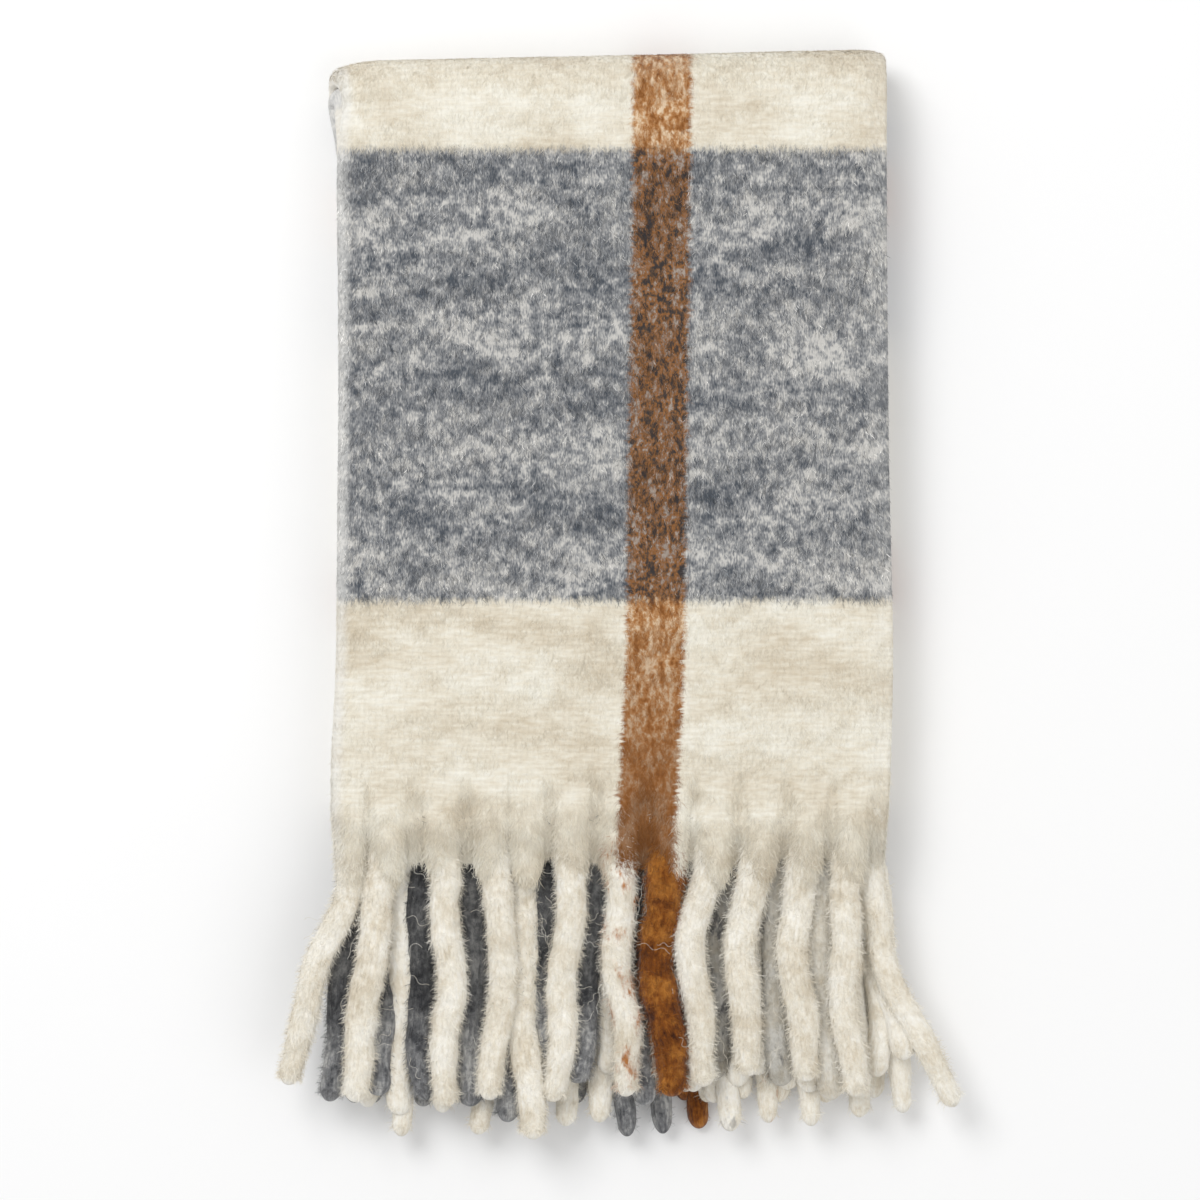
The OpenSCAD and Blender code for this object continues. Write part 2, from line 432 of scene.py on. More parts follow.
    def apply(self, points: np.ndarray, facing: np.ndarray | None = None) -> np.ndarray:
        """Move points of the plan to where the soft cloth lies.

        Args:
            points: Rows of x, y, z in the plan.
            facing: How much each point belongs to the top face, 0 to 1, or None for none.

        Returns:
            The moved points.
        """
        s = self.stack
        x, y, z = points[..., 0], points[..., 1], points[..., 2]
        across = np.clip((x - s.left) / s.width, 0.0, 1.0)
        level = np.clip(z / s.height, 0.0, 1.0)
        moved_x = x + self.side(x, y) + self.low(y, across, level) + self.ear(y, across, level)
        edge = np.minimum(across, 1 - across) * s.width
        sag = -self.EDGE_SAG * (1 - smooth(edge / self.EDGE_REACH)) * smooth(level * 1.6)
        moved_z = z + level * self.rise(x, y) + sag * level
        if facing is not None:
            moved_z = moved_z + facing * self.hem_relief(x, y)
        return np.stack([moved_x, y, np.maximum(moved_z, self.LEAST_HEIGHT)], axis=-1)


# ---- Meshes ----


@dataclass
class Woven:
    """A patch of cloth as a grid of middle points with their facing and place in the flat cloth."""

    middle: np.ndarray
    normal: np.ndarray
    cloth: np.ndarray
    half: np.ndarray


class MeshMaker:
    """Turns arrays of points into Blender objects with the attributes that the finishes read."""

    @staticmethod
    def make(
        name: str,
        points: np.ndarray,
        quads: np.ndarray,
        triangles: np.ndarray,
        attributes: dict[str, np.ndarray],
    ) -> bpy.types.Object:
        """Make a smooth-shaded mesh object.

        Args:
            name: Name of the object.
            points: Rows of x, y, z.
            quads: Rows of four point numbers.
            triangles: Rows of three point numbers.
            attributes: Per point, one value or three values each.

        Returns:
            The new object, linked to the scene.
        """
        mesh = bpy.data.meshes.new(name)
        quads, triangles = quads.reshape(-1, 4), triangles.reshape(-1, 3)
        corners = np.concatenate([quads.ravel(), triangles.ravel()]).astype(np.int32)
        starts = np.concatenate(
            [np.arange(len(quads)) * 4, len(quads) * 4 + np.arange(len(triangles)) * 3]
        )
        mesh.vertices.add(len(points))
        mesh.vertices.foreach_set("co", points.astype(np.float32).ravel())
        mesh.loops.add(len(corners))
        mesh.loops.foreach_set("vertex_index", corners)
        mesh.polygons.add(len(starts))
        mesh.polygons.foreach_set("loop_start", starts.astype(np.int32))
        mesh.update(calc_edges=True)
        mesh.validate()
        mesh.polygons.foreach_set("use_smooth", np.ones(len(mesh.polygons), dtype=bool))
        for key, values in attributes.items():
            kind = "FLOAT_VECTOR" if values.ndim == 2 else "FLOAT"
            layer = mesh.attributes.new(key, kind, "POINT")
            field = "vector" if values.ndim == 2 else "value"
            layer.data.foreach_set(field, values.astype(np.float32).ravel())
        piece = bpy.data.objects.new(name, mesh)
        bpy.context.scene.collection.objects.link(piece)
        return piece

    @staticmethod
    def cloth(name: str, patch: Woven) -> bpy.types.Object:
        """Make a closed cloth of the patch's thickness, with rounded rims where it thins out."""
        rows, columns = patch.middle.shape[:2]
        offset = patch.normal * patch.half[..., None]
        top, bottom = patch.middle + offset, patch.middle - offset
        points = np.concatenate([top.reshape(-1, 3), bottom.reshape(-1, 3)])
        index = np.arange(rows * columns).reshape(rows, columns)
        a, b = index[:-1, :-1].ravel(), index[:-1, 1:].ravel()
        c, d = index[1:, 1:].ravel(), index[1:, :-1].ravel()
        shift = rows * columns
        quads = [np.stack([a, b, c, d], 1), np.stack([d, c, b, a], 1) + shift]
        around = [index[:, 0], index[::-1, -1], index[0, ::-1], index[-1, :]]
        for line in around:
            p, q = line[:-1], line[1:]
            quads.append(np.stack([p, q, q + shift, p + shift], 1))
        cloth = np.concatenate([patch.cloth.reshape(-1, 3)] * 2)
        attributes = {"cloth": cloth, "tone": np.ones(len(points))}
        return MeshMaker.make(name, points, np.concatenate(quads), NO_TRIANGLES, attributes)


class Nap:
    """Raised fibres, each a thin bent ribbon that ends in a point."""

    @staticmethod
    def arrays(
        rng: np.random.Generator,
        roots: np.ndarray,
        normals: np.ndarray,
        along: np.ndarray,
        length: tuple[float, float],
        width: float,
        lift: tuple[float, float],
        stray: float,
    ) -> tuple[np.ndarray, np.ndarray, np.ndarray]:
        """Grow one fibre from each root.

        Args:
            rng: Seeded source of the fibres' variety.
            roots: Where the fibres start.
            normals: Facing of the cloth at each root.
            along: Direction in which the cloth is brushed at each root.
            length: Shortest and longest fibre, in metres.
            width: Width of a fibre at its root, in metres.
            lift: Least and greatest rise of a fibre off the cloth, as a share of its length.
            stray: How far fibres turn from the brushed direction, in radians.

        Returns:
            Points, quads and triangles. Each fibre has five points, in the order of the roots.
        """
        n = len(roots)
        side = unit(np.cross(normals, along))
        turn = rng.normal(0.0, stray, n)[:, None]
        heading = unit(along * np.cos(turn) + side * np.sin(turn))
        bend = unit(heading + side * rng.normal(0.0, 0.45, n)[:, None])
        size = rng.uniform(length[0], length[1], n)[:, None]
        rise = rng.uniform(lift[0], lift[1], n)[:, None] * size
        across = unit(np.cross(normals, heading) + normals * rng.uniform(-0.6, 0.6, n)[:, None])
        half = across * width / 2 * rng.uniform(0.7, 1.25, n)[:, None]
        middle = roots + heading * size * 0.5 + normals * rise * 0.75
        tip = middle + bend * size * 0.5 + normals * rise * 0.25
        points = np.stack([roots - half, roots + half, middle + half, middle - half, tip], 1)
        first = np.arange(n) * FIBRE_POINTS
        quads = first[:, None] + np.array([0, 1, 2, 3])
        triangles = first[:, None] + np.array([3, 2, 4])
        return points.reshape(-1, 3), quads, triangles

    @staticmethod
    def tones(rng: np.random.Generator, n: int, spread: float) -> np.ndarray:
        """Return a lightness factor for each point, the same all along a fibre."""
        return np.repeat(np.clip(rng.normal(1.0, spread, n), 0.55, 1.45), FIBRE_POINTS)


# ---- Finishes ----


class Graph:
    """A material's nodes, with short calls for those that the finishes use."""

    def __init__(self, name: str) -> None:
        """Start an empty material with an output and a Principled shader."""
        self.material = bpy.data.materials.new(name)
        self.material.use_nodes = True
        self.nodes, self.links = self.material.node_tree.nodes, self.material.node_tree.links
        self.shader = self.nodes["Principled BSDF"]

    def _put(self, socket: bpy.types.NodeSocket, value: object) -> None:
        """Link a socket to another one, or set its number, vector or colour."""
        if isinstance(value, bpy.types.NodeSocket):
            self.links.new(value, socket)
        else:
            socket.default_value = value

    def attribute(self, name: str, vector: bool = False) -> bpy.types.NodeSocket:
        """Return a point attribute of the mesh."""
        node = self.nodes.new("ShaderNodeAttribute")
        node.attribute_name = name
        return node.outputs["Vector" if vector else "Fac"]

    def part(self, vector: bpy.types.NodeSocket, axis: int) -> bpy.types.NodeSocket:
        """Return one coordinate of a vector."""
        node = self.nodes.new("ShaderNodeSeparateXYZ")
        self._put(node.inputs[0], vector)
        return node.outputs[axis]

    def math(self, kind: str, a: object, b: object = 0.0, c: object = 0.0) -> bpy.types.NodeSocket:
        """Return the result of a Math node."""
        node = self.nodes.new("ShaderNodeMath")
        node.operation = kind
        for socket, value in zip(node.inputs, (a, b, c)):
            self._put(socket, value)
        return node.outputs[0]

    def scaled(
        self, vector: bpy.types.NodeSocket, by: tuple[float, float, float]
    ) -> bpy.types.NodeSocket:
        """Return a vector stretched along its axes."""
        node = self.nodes.new("ShaderNodeVectorMath")
        node.operation = "MULTIPLY"
        self._put(node.inputs[0], vector)
        node.inputs[1].default_value = by
        return node.outputs[0]

    def noise(
        self,
        vector: bpy.types.NodeSocket,
        by: tuple[float, float, float],
        detail: float = 2.0,
        rough: float = 0.5,
    ) -> bpy.types.NodeSocket:
        """Return a noise value, with its features per metre given along each axis."""
        node = self.nodes.new("ShaderNodeTexNoise")
        node.inputs["Scale"].default_value = 1.0
        node.inputs["Detail"].default_value = detail
        node.inputs["Roughness"].default_value = rough
        self._put(node.inputs["Vector"], self.scaled(vector, by))
        return node.outputs["Fac"]

    def ease(self, value: object, low: float, high: float) -> bpy.types.NodeSocket:
        """Return 0 below low, 1 above high, and a smooth step between them."""
        node = self.nodes.new("ShaderNodeMapRange")
        node.interpolation_type = "SMOOTHSTEP"
        self._put(node.inputs["Value"], value)
        node.inputs["From Min"].default_value = low
        node.inputs["From Max"].default_value = high
        return node.outputs[0]

    def ramp(
        self, value: object, stops: tuple[tuple[float, tuple[float, float, float]], ...]
    ) -> bpy.types.NodeSocket:
        """Return a colour from a ramp of places and colours."""
        node = self.nodes.new("ShaderNodeValToRGB")
        elements = node.color_ramp.elements
        while len(elements) < len(stops):
            elements.new(0.5)
        for element, (place, color) in zip(elements, stops):
            element.position = place
            element.color = (*color, 1.0)
        self._put(node.inputs[0], value)
        return node.outputs[0]

    def mix(self, factor: object, a: object, b: object, kind: str = "MIX") -> bpy.types.NodeSocket:
        """Return a mix of two colours."""
        node = self.nodes.new("ShaderNodeMix")
        node.data_type = "RGBA"
        node.blend_type = kind
        self._put(node.inputs["Factor"], factor)
        for socket, value in ((node.inputs[6], a), (node.inputs[7], b)):
            self._put(socket, (*value, 1.0) if isinstance(value, tuple) else value)
        return node.outputs[2]

    def lighten(self, color: bpy.types.NodeSocket, by: bpy.types.NodeSocket) -> bpy.types.NodeSocket:
        """Return a colour times a factor: the fibres' random lightness, with painted shade where a piece
        carries it.
        """
        node = self.nodes.new("ShaderNodeVectorMath")
        node.operation = "SCALE"
        self._put(node.inputs[0], color)
        self._put(node.inputs["Scale"], by)
        return node.outputs[0]

    def bump(self, height: bpy.types.NodeSocket, distance: float, strength: float = 1.0) -> None:
        """Give the shader a relief of this height, in metres."""
        node = self.nodes.new("ShaderNodeBump")
        node.inputs["Strength"].default_value = strength
        node.inputs["Distance"].default_value = distance
        self._put(node.inputs["Height"], height)
        self.links.new(node.outputs[0], self.shader.inputs["Normal"])


@dataclass(frozen=True)
class Wool:
    """What all the brushed wool has in common."""

    roughness: float = 0.95
    sheen: float = 0.22
    sheen_roughness: float = 0.6
    specular: float = 0.08

    def dress(self, graph: Graph, color: bpy.types.NodeSocket) -> None:
        """Set the shader's dull, softly shining wool surface."""
        shader = graph.shader
        shader.inputs["Roughness"].default_value = self.roughness
        shader.inputs["Specular IOR Level"].default_value = self.specular
        shader.inputs["Sheen Weight"].default_value = self.sheen
        shader.inputs["Sheen Roughness"].default_value = self.sheen_roughness
        graph.links.new(color, shader.inputs["Base Color"])


@dataclass(frozen=True)
class Stripe:
    """A band of the plaid: its middle and half its width, in metres along or across the cloth."""

    middle: float
    half: float


Color = tuple[float, float, float]
Ramp = tuple[tuple[float, Color], ...]
IVORY_GROUND: Ramp = (
    (0.36, (0.64, 0.56, 0.43)),
    (0.50, (0.775, 0.72, 0.60)),
    (0.62, (0.86, 0.83, 0.735)),
)
SLATE_MARL: Ramp = (
    (0.405, (0.068, 0.079, 0.095)),
    (0.460, (0.160, 0.168, 0.180)),
    (0.515, (0.295, 0.299, 0.303)),
    (0.580, (0.580, 0.565, 0.535)),
)
OCHRE_OVER_IVORY: Ramp = (
    (0.38, (0.225, 0.078, 0.014)),
    (0.46, (0.390, 0.170, 0.052)),
    (0.52, (0.52, 0.295, 0.140)),
    (0.59, (0.74, 0.57, 0.39)),
)
OCHRE_OVER_SLATE: Ramp = (
    (0.41, (0.036, 0.030, 0.030)),
    (0.465, (0.100, 0.060, 0.036)),
    (0.51, (0.280, 0.112, 0.028)),
    (0.555, (0.215, 0.140, 0.098)),
    (0.60, (0.360, 0.300, 0.255)),
)
OCHRE_AT_HEM: Color = (0.20, 0.068, 0.013)
OCHRE_WEFT: Color = (0.40, 0.165, 0.045)
# Painted highlight on the rolled sides of the leaves.
ROLL_HIGHLIGHT: Color = (0.80, 0.79, 0.76)
OCHRE_FLECK: Color = (0.46, 0.19, 0.055)
SLATE_FLECK: Color = (0.27, 0.265, 0.26)


@dataclass(frozen=True)
class PlaidFinish:
    """The woven plaid: ivory wool crossed by slate grey bands and ochre stripes."""

    wool: Wool = Wool()
    slate_wefts: tuple[Stripe, ...] = (
        Stripe(0.2615, 0.1325),
        Stripe(0.549, 0.076),
        Stripe(1.251, 0.076),
        Stripe(1.5385, 0.1325),
    )
    ochre_wefts: tuple[Stripe, ...] = (
        Stripe(0.540, 0.018),
        Stripe(0.770, 0.018),
        Stripe(1.030, 0.018),
        Stripe(1.260, 0.018),
    )
    slate_warp: Stripe = Stripe(0.975, 0.175)
    ochre_warp: Stripe = Stripe(0.5135, 0.0172)
    lean: float = 0.009
    lean_over: float = 0.45
    hem_reach: float = 0.15
    yarns_per_metre: float = 290.0

    def _band(
        self, g: Graph, value: bpy.types.NodeSocket, stripe: Stripe, soft: float
    ) -> bpy.types.NodeSocket:
        """Return 1 inside a stripe and 0 outside it, with a soft border."""
        away = g.math("ABSOLUTE", g.math("SUBTRACT", value, stripe.middle))
        inside = g.math("SUBTRACT", stripe.half, away)
        return g.ease(inside, -soft, soft)

    def _bands(
        self, g: Graph, value: bpy.types.NodeSocket, stripes: tuple[Stripe, ...], soft: float
    ) -> bpy.types.NodeSocket:
        """Return 1 inside any of several stripes."""
        total = self._band(g, value, stripes[0], soft)
        for stripe in stripes[1:]:
            total = g.math("MAXIMUM", total, self._band(g, value, stripe, soft))
        return total

    def build(self) -> bpy.types.Material:
        """Make the material.

        Returns:
            A procedural material that reads the attributes cloth (place in the flat cloth) and tone (random
            lightness, times painted shade in the hollows).
        """
        g = Graph("brushed_plaid")
        place = g.attribute("cloth", vector=True)
        w, s = g.part(place, 0), g.part(place, 1)
        fray = g.noise(place, (420.0, 150.0, 1.0), detail=3.0, rough=0.7)
        fray_w = g.noise(place, (60.0, 330.0, 1.0), detail=3.0, rough=0.7)
        s_soft = g.math("MULTIPLY_ADD", g.math("SUBTRACT", fray, 0.5), 0.013, s)
        leaning = g.math("MULTIPLY_ADD", s, -self.lean / self.lean_over, w)
        w_soft = g.math("MULTIPLY_ADD", g.math("SUBTRACT", fray_w, 0.5), 0.014, leaning)
        slate_weft = self._bands(g, s_soft, self.slate_wefts, 3.2 * MM)
        ochre_weft = self._bands(g, s_soft, self.ochre_wefts, 2.2 * MM)
        slate_warp = self._band(g, w_soft, self.slate_warp, 2.5 * MM)
        ochre_warp = self._band(g, w_soft, self.ochre_warp, 2.0 * MM)

        ivory = self._ivory(g, place)
        slate = self._slate(g, place)
        color = g.mix(slate_weft, ivory, slate)
        color = g.mix(g.math("MULTIPLY", slate_warp, 0.8), color, slate)
        flecks = g.noise(place, (330.0, 210.0, 1.0), detail=3.0, rough=0.66)
        patches = g.noise(place, (110.0, 60.0, 2.0), detail=2.0)
        flecks = g.math("MULTIPLY_ADD", patches, 0.35, g.math("MULTIPLY", flecks, 0.65))
        over_ivory = g.ramp(flecks, OCHRE_OVER_IVORY)
        over_slate = g.ramp(flecks, OCHRE_OVER_SLATE)
        dark = g.math("MAXIMUM", slate_weft, slate_warp)
        ochre = g.mix(dark, over_ivory, over_slate)
        hem = g.ease(s, self.hem_reach, 0.0)
        ochre = g.mix(g.math("MULTIPLY", hem, 0.72), ochre, OCHRE_AT_HEM)
        color = g.mix(ochre_warp, color, ochre)
        color = g.mix(g.math("MULTIPLY", ochre_weft, 0.85), color, OCHRE_WEFT)
        # Painted highlight: paler where the rolled sides turn up to the light.
        color = g.mix(self._roll_highlights(g, w, flecks), color, ROLL_HIGHLIGHT)
        # Tone: random lightness of the fibres, times painted shade in the hollows between the tassels.
        tone = g.attribute("tone")
        hair = g.math("POWER", tone, g.math("MULTIPLY_ADD", slate_weft, 1.7, 0.30))
        grid = self._grid(g, place, w, s)
        hair = g.math("MULTIPLY", hair, g.math("MULTIPLY_ADD", grid, 0.014, 1.0))
        color = g.lighten(color, hair)
        self.wool.dress(g, color)
        g.bump(self._relief(g, place, grid), 0.9 * MM)
        return g.material

    def _roll_highlights(
        self, g: Graph, w: bpy.types.NodeSocket, flecks: bpy.types.NodeSocket
    ) -> bpy.types.NodeSocket:
        """Return the share of painted highlight, a paler colour, at the lengthwise creases where the sides
        roll over, most on the left one.
        """
        left = g.math("ABSOLUTE", g.math("SUBTRACT", w, CLOTH_WIDTH / 4))
        right = g.math("ABSOLUTE", g.math("SUBTRACT", w, CLOTH_WIDTH / 2))
        highlight_left, highlight_right = g.ease(left, 0.0125, 0.006), g.ease(right, 0.010, 0.003)
        highlight = g.math("MULTIPLY_ADD", highlight_right, 0.16, highlight_left)
        return g.math("MULTIPLY", highlight, g.math("MULTIPLY", flecks, 1.1))

    def _ivory(self, g: Graph, place: bpy.types.NodeSocket) -> bpy.types.NodeSocket:
        """Return the ivory ground, with faint beige clouds and yarn flecks, and painted light that makes it
        a touch paler from near the top of the front leaf on.
        """
        cloud = g.noise(place, (16.0, 30.0, 1.0), detail=4.0, rough=0.62)
        yarn = g.noise(place, (110.0, 420.0, 1.0), detail=2.0)
        warm = g.math("MULTIPLY_ADD", yarn, 0.35, g.math("MULTIPLY", cloud, 0.65))
        # Painted light: a touch paler from 0.37 m to 0.42 m along the cloth and beyond.
        painted_top_light = g.ease(g.part(place, 1), 0.37, 0.42)
        warm = g.math("MULTIPLY_ADD", painted_top_light, 0.008, warm)
        return g.ramp(warm, IVORY_GROUND)

    def _slate(self, g: Graph, place: bpy.types.NodeSocket) -> bpy.types.NodeSocket:
        """Return the marled slate grey, with dark picks along the weft and pale flecks."""
        across, along = g.part(place, 0), g.part(place, 1)
        cloud = g.noise(place, (22.0, 40.0, 1.0), detail=3.0, rough=0.6)
        streak = g.noise(place, (24.0, 70.0, 1.0), detail=3.0, rough=0.6)
        fleck = g.noise(place, (165.0, 150.0, 1.0), detail=2.0, rough=0.6)
        grain = g.noise(place, (1150.0, 330.0, 1.0), detail=1.0)
        picks = g.math("MULTIPLY", g.math("SUBTRACT", along, 0.182), 2 * math.pi / 0.068)
        picks = g.math("MULTIPLY_ADD", cloud, 3.0, g.math("SUBTRACT", picks, 1.5))
        depth = g.math("MULTIPLY_ADD", g.math("COSINE", picks), -0.017, g.math("MULTIPLY", cloud, 0.20))
        for part, share in ((streak, 0.18), (fleck, 0.36), (grain, 0.26)):
            depth = g.math("MULTIPLY_ADD", part, share, depth)
        depth = g.math("MULTIPLY_ADD", g.ease(across, 0.50, 0.63), 0.012, depth)
        return g.ramp(depth, SLATE_MARL)

    def _grid(
        self,
        g: Graph,
        place: bpy.types.NodeSocket,
        w: bpy.types.NodeSocket,
        s: bpy.types.NodeSocket,
    ) -> bpy.types.NodeSocket:
        """Return the plain weave's ribs, from -2 to 2, which wander a little."""
        wander = g.noise(place, (55.0, 55.0, 1.0), detail=1.0)
        turn = 2 * math.pi * self.yarns_per_metre
        across = g.math("SINE", g.math("MULTIPLY_ADD", wander, 2.6, g.math("MULTIPLY", w, turn)))
        down = g.math("SINE", g.math("MULTIPLY_ADD", wander, 2.6, g.math("MULTIPLY", s, turn)))
        return g.math("ADD", across, down)

    def _relief(
        self, g: Graph, place: bpy.types.NodeSocket, grid: bpy.types.NodeSocket
    ) -> bpy.types.NodeSocket:
        """Return the relief: a faint plain weave under a felted, brushed surface."""
        felt = g.noise(place, (620.0, 300.0, 1.0), detail=3.0, rough=0.65)
        tuft = g.noise(place, (130.0, 130.0, 1.0), detail=2.0)
        soft = g.math("ADD", felt, g.math("MULTIPLY", tuft, 1.1))
        return g.math("MULTIPLY_ADD", grid, 0.09, soft)


@dataclass(frozen=True)
class TasselFinish:
    """Felted wool of one colour, as a ramp from its shaded to its brightest fibres."""

    tone: Tone
    deep: Color
    middle: Color
    pale: Color
    wool: Wool = Wool()

    def build(self) -> bpy.types.Material:
        """Make the material, which reads the attributes yarn, tone, ochre_flecks and slate_flecks."""
        g = Graph(f"felted_{self.tone.value}_wool")
        place = g.attribute("yarn", vector=True)
        cloud = g.noise(place, (55.0, 42.0, 9.0), detail=3.0, rough=0.65)
        fibre = g.noise(place, (620.0, 130.0, 9.0), detail=2.0)
        speck = g.noise(place, (420.0, 330.0, 9.0), detail=2.0, rough=0.6)
        value = g.math("MULTIPLY", cloud, 0.5)
        for part, share in ((fibre, 0.25), (speck, 0.25)):
            value = g.math("MULTIPLY_ADD", part, share, value)
        color = g.ramp(value, ((0.39, self.deep), (0.50, self.middle), (0.61, self.pale)))
        fleck = g.noise(place, (150.0, 62.0, 17.0), detail=3.0, rough=0.62)
        spot = g.ease(fleck, 0.53, 0.68)
        ochre = g.math("MULTIPLY", spot, g.attribute("ochre_flecks"))
        color = g.mix(ochre, color, OCHRE_FLECK)
        slate = g.math("MULTIPLY", spot, g.attribute("slate_flecks"))
        color = g.mix(g.math("MULTIPLY", slate, 0.8), color, SLATE_FLECK)
        # Tone: random lightness of the fibres, times painted shade on tassels that lie in the gaps.
        color = g.lighten(color, g.attribute("tone"))
        self.wool.dress(g, color)
        felt = g.noise(place, (480.0, 230.0, 9.0), detail=3.0, rough=0.65)
        g.bump(felt, 1.2 * MM)
        return g.material


class Finishes:
    """All the materials of the throw, made once and shared."""

    def __init__(self) -> None:
        """Build the plaid and the three tassel colours."""
        self.plaid = PlaidFinish().build()
        finishes = (
            TasselFinish(Tone.IVORY, (0.74, 0.67, 0.545), (0.865, 0.82, 0.72), (0.93, 0.905, 0.84)),
            TasselFinish(Tone.SLATE, (0.060, 0.062, 0.068), (0.200, 0.202, 0.206), (0.46, 0.455, 0.44)),
            TasselFinish(Tone.OCHRE, (0.055, 0.012, 0.001), (0.215, 0.062, 0.004), (0.42, 0.165, 0.025)),
        )
        self.tassels = {finish.tone: finish.build() for finish in finishes}


# ---- Cloth ----


def blend_with_fringe(piece: bpy.types.Object) -> None:
    """Fix a piece in place, with its placement baked into its mesh."""
    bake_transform(piece)


@dataclass
class FoldedCloth:
    """The woven part of the throw: four leaves, three folds and the nap on what can be seen."""

    stack: Stack
    section: StripSection
    settling: Settling
    material: bpy.types.Material
    face_step: float = 2.4 * MM
    plain_step: float = 7 * MM
    fold_step: float = 4 * MM
    hidden_step: float = 11 * MM
    fine_rows: float = 2.4 * MM
    plain_rows: float = 6 * MM
    nap_length: tuple[float, float] = (2.0 * MM, 5.2 * MM)
    nap_width: float = 0.26 * MM
    nap_lift: tuple[float, float] = (0.03, 0.13)
    nap_stray: float = 0.42
    nap_spread: float = 0.20
    nap_sunk: float = 0.2 * MM

    def __post_init__(self) -> None:
        """Work out how much cloth lies before each leaf and fold, from the front end."""
        s = self.stack
        self.outer_radius = s.fold_z - s.leaf_height / 2
        self.inner_radius = s.leaf_pitch / 2
        self.turn_length = math.pi * self.inner_radius

    def along_cloth(self, leaf: Leaf, x: np.ndarray, y: np.ndarray) -> np.ndarray:
        """Return the distance along the flat cloth from its front end.

        Args:
            leaf: The leaf that the points lie in.
            x: Places across the leaf.
            y: Places along the leaf.
        """
        s = self.stack
        fold = s.fold_line(x)
        if leaf is Leaf.FRONT:
            return y - s.front_hem
        ground = fold - s.front_hem + math.pi * self.outer_radius
        if leaf is Leaf.GROUND:
            return ground + fold - y
        under = ground + fold - s.middle_y + self.turn_length
        if leaf is Leaf.UNDER:
            return under + y - s.middle_y
        return under + fold - s.middle_y + self.turn_length + fold - y

    def place(self, leaf: Leaf, w: np.ndarray, share: np.ndarray) -> tuple[np.ndarray, ...]:
        """Place points of the cloth in a leaf.

        Args:
            leaf: The leaf.
            w: Distances across the flat cloth.
            share: Places from the leaf's start, 0, to the top fold, 1, in the same shape as w.

        Returns:
            Settled points, their facing, and their places in the flat cloth.
        """
        s = self.stack
        x, z, nx, nz = self.section.at(w, leaf.face_up)
        level = z + s.leaf_z(leaf)
        facing = np.clip((level - (s.height - 5 * MM)) / (3 * MM), 0, 1) * (leaf is Leaf.FRONT)
        start = self.leaf_start(leaf) - facing * self.settling.web(x)
        y = start + (s.seam_line(x) - start) * share
        points = self.settling.apply(np.stack([x, y, level], -1), facing)
        normals = np.stack([nx, np.zeros_like(nx), nz], -1)
        cloth = np.stack([w, self.along_cloth(leaf, x, y), np.zeros_like(w)], -1)
        return points, normals, cloth

    def leaf_patch(self, leaf: Leaf, w: np.ndarray, share: np.ndarray) -> Woven:
        """Place a grid of cloth in a leaf, a column for each w and a row for each share."""
        across, along = np.meshgrid(w, share)
        middle, normal, cloth = self.place(leaf, across, along)
        return Woven(middle, normal, cloth, np.full(across.shape, THICKNESS / 2))

    def round_rims(self, patch: Woven, w: np.ndarray, from_hem: np.ndarray | None) -> None:
        """Thin the patch out in a half round towards its selvedges and, if given, its hem."""
        half = THICKNESS / 2
        away = np.minimum(w, CLOTH_WIDTH - w)[None, :] * np.ones(patch.half.shape)
        if from_hem is not None:
            away = np.minimum(away, from_hem[:, None])
        inset = np.clip(1 - away / half, 0, 1)
        patch.half = np.maximum(half * np.sqrt(1 - inset**2), 0.12 * MM)

    def dress(self, piece: bpy.types.Object) -> bpy.types.Object:
        """Give a piece the plaid."""
        piece.data.materials.append(self.material)
        return piece

    def leaf_start(self, leaf: Leaf) -> float:
        """Return where a leaf starts along y."""
        starts = {Leaf.FRONT: self.stack.front_hem, Leaf.BACK: self.stack.back_hem}
        return starts.get(leaf, self.stack.middle_y)

    def build_leaf(self, leaf: Leaf) -> bpy.types.Object:
        """Make one leaf, a strip of four plies rolled into each other."""
        s = self.stack
        fine = leaf is Leaf.FRONT
        step = self.fine_rows if fine else self.plain_rows
        start = self.leaf_start(leaf)
        length = s.fold_y - start
        rows = np.arange(0, length, step) / length
        if leaf.upper:
            rows = np.concatenate([RIM_STEPS / length, rows[1:]])
        rows = np.unique(np.concatenate([rows, [1.0 - SEAM / length, 1.0]]))
        w = self.section.grid(self.face_step if fine else self.plain_step, self.hidden_step)
        patch = self.leaf_patch(leaf, w, rows)
        self.round_rims(patch, w, rows * length if leaf.upper else None)
        piece = self.dress(MeshMaker.cloth(f"{leaf.label}_leaf_cloth", patch))
        layers = ("face_ply", "second_ply", "third_ply", "back_ply", "left_rolls", "right_roll")
        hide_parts(*[f"{leaf.label}_leaf_{layer}" for layer in layers])
        self.carry(piece, leaf)
        return piece

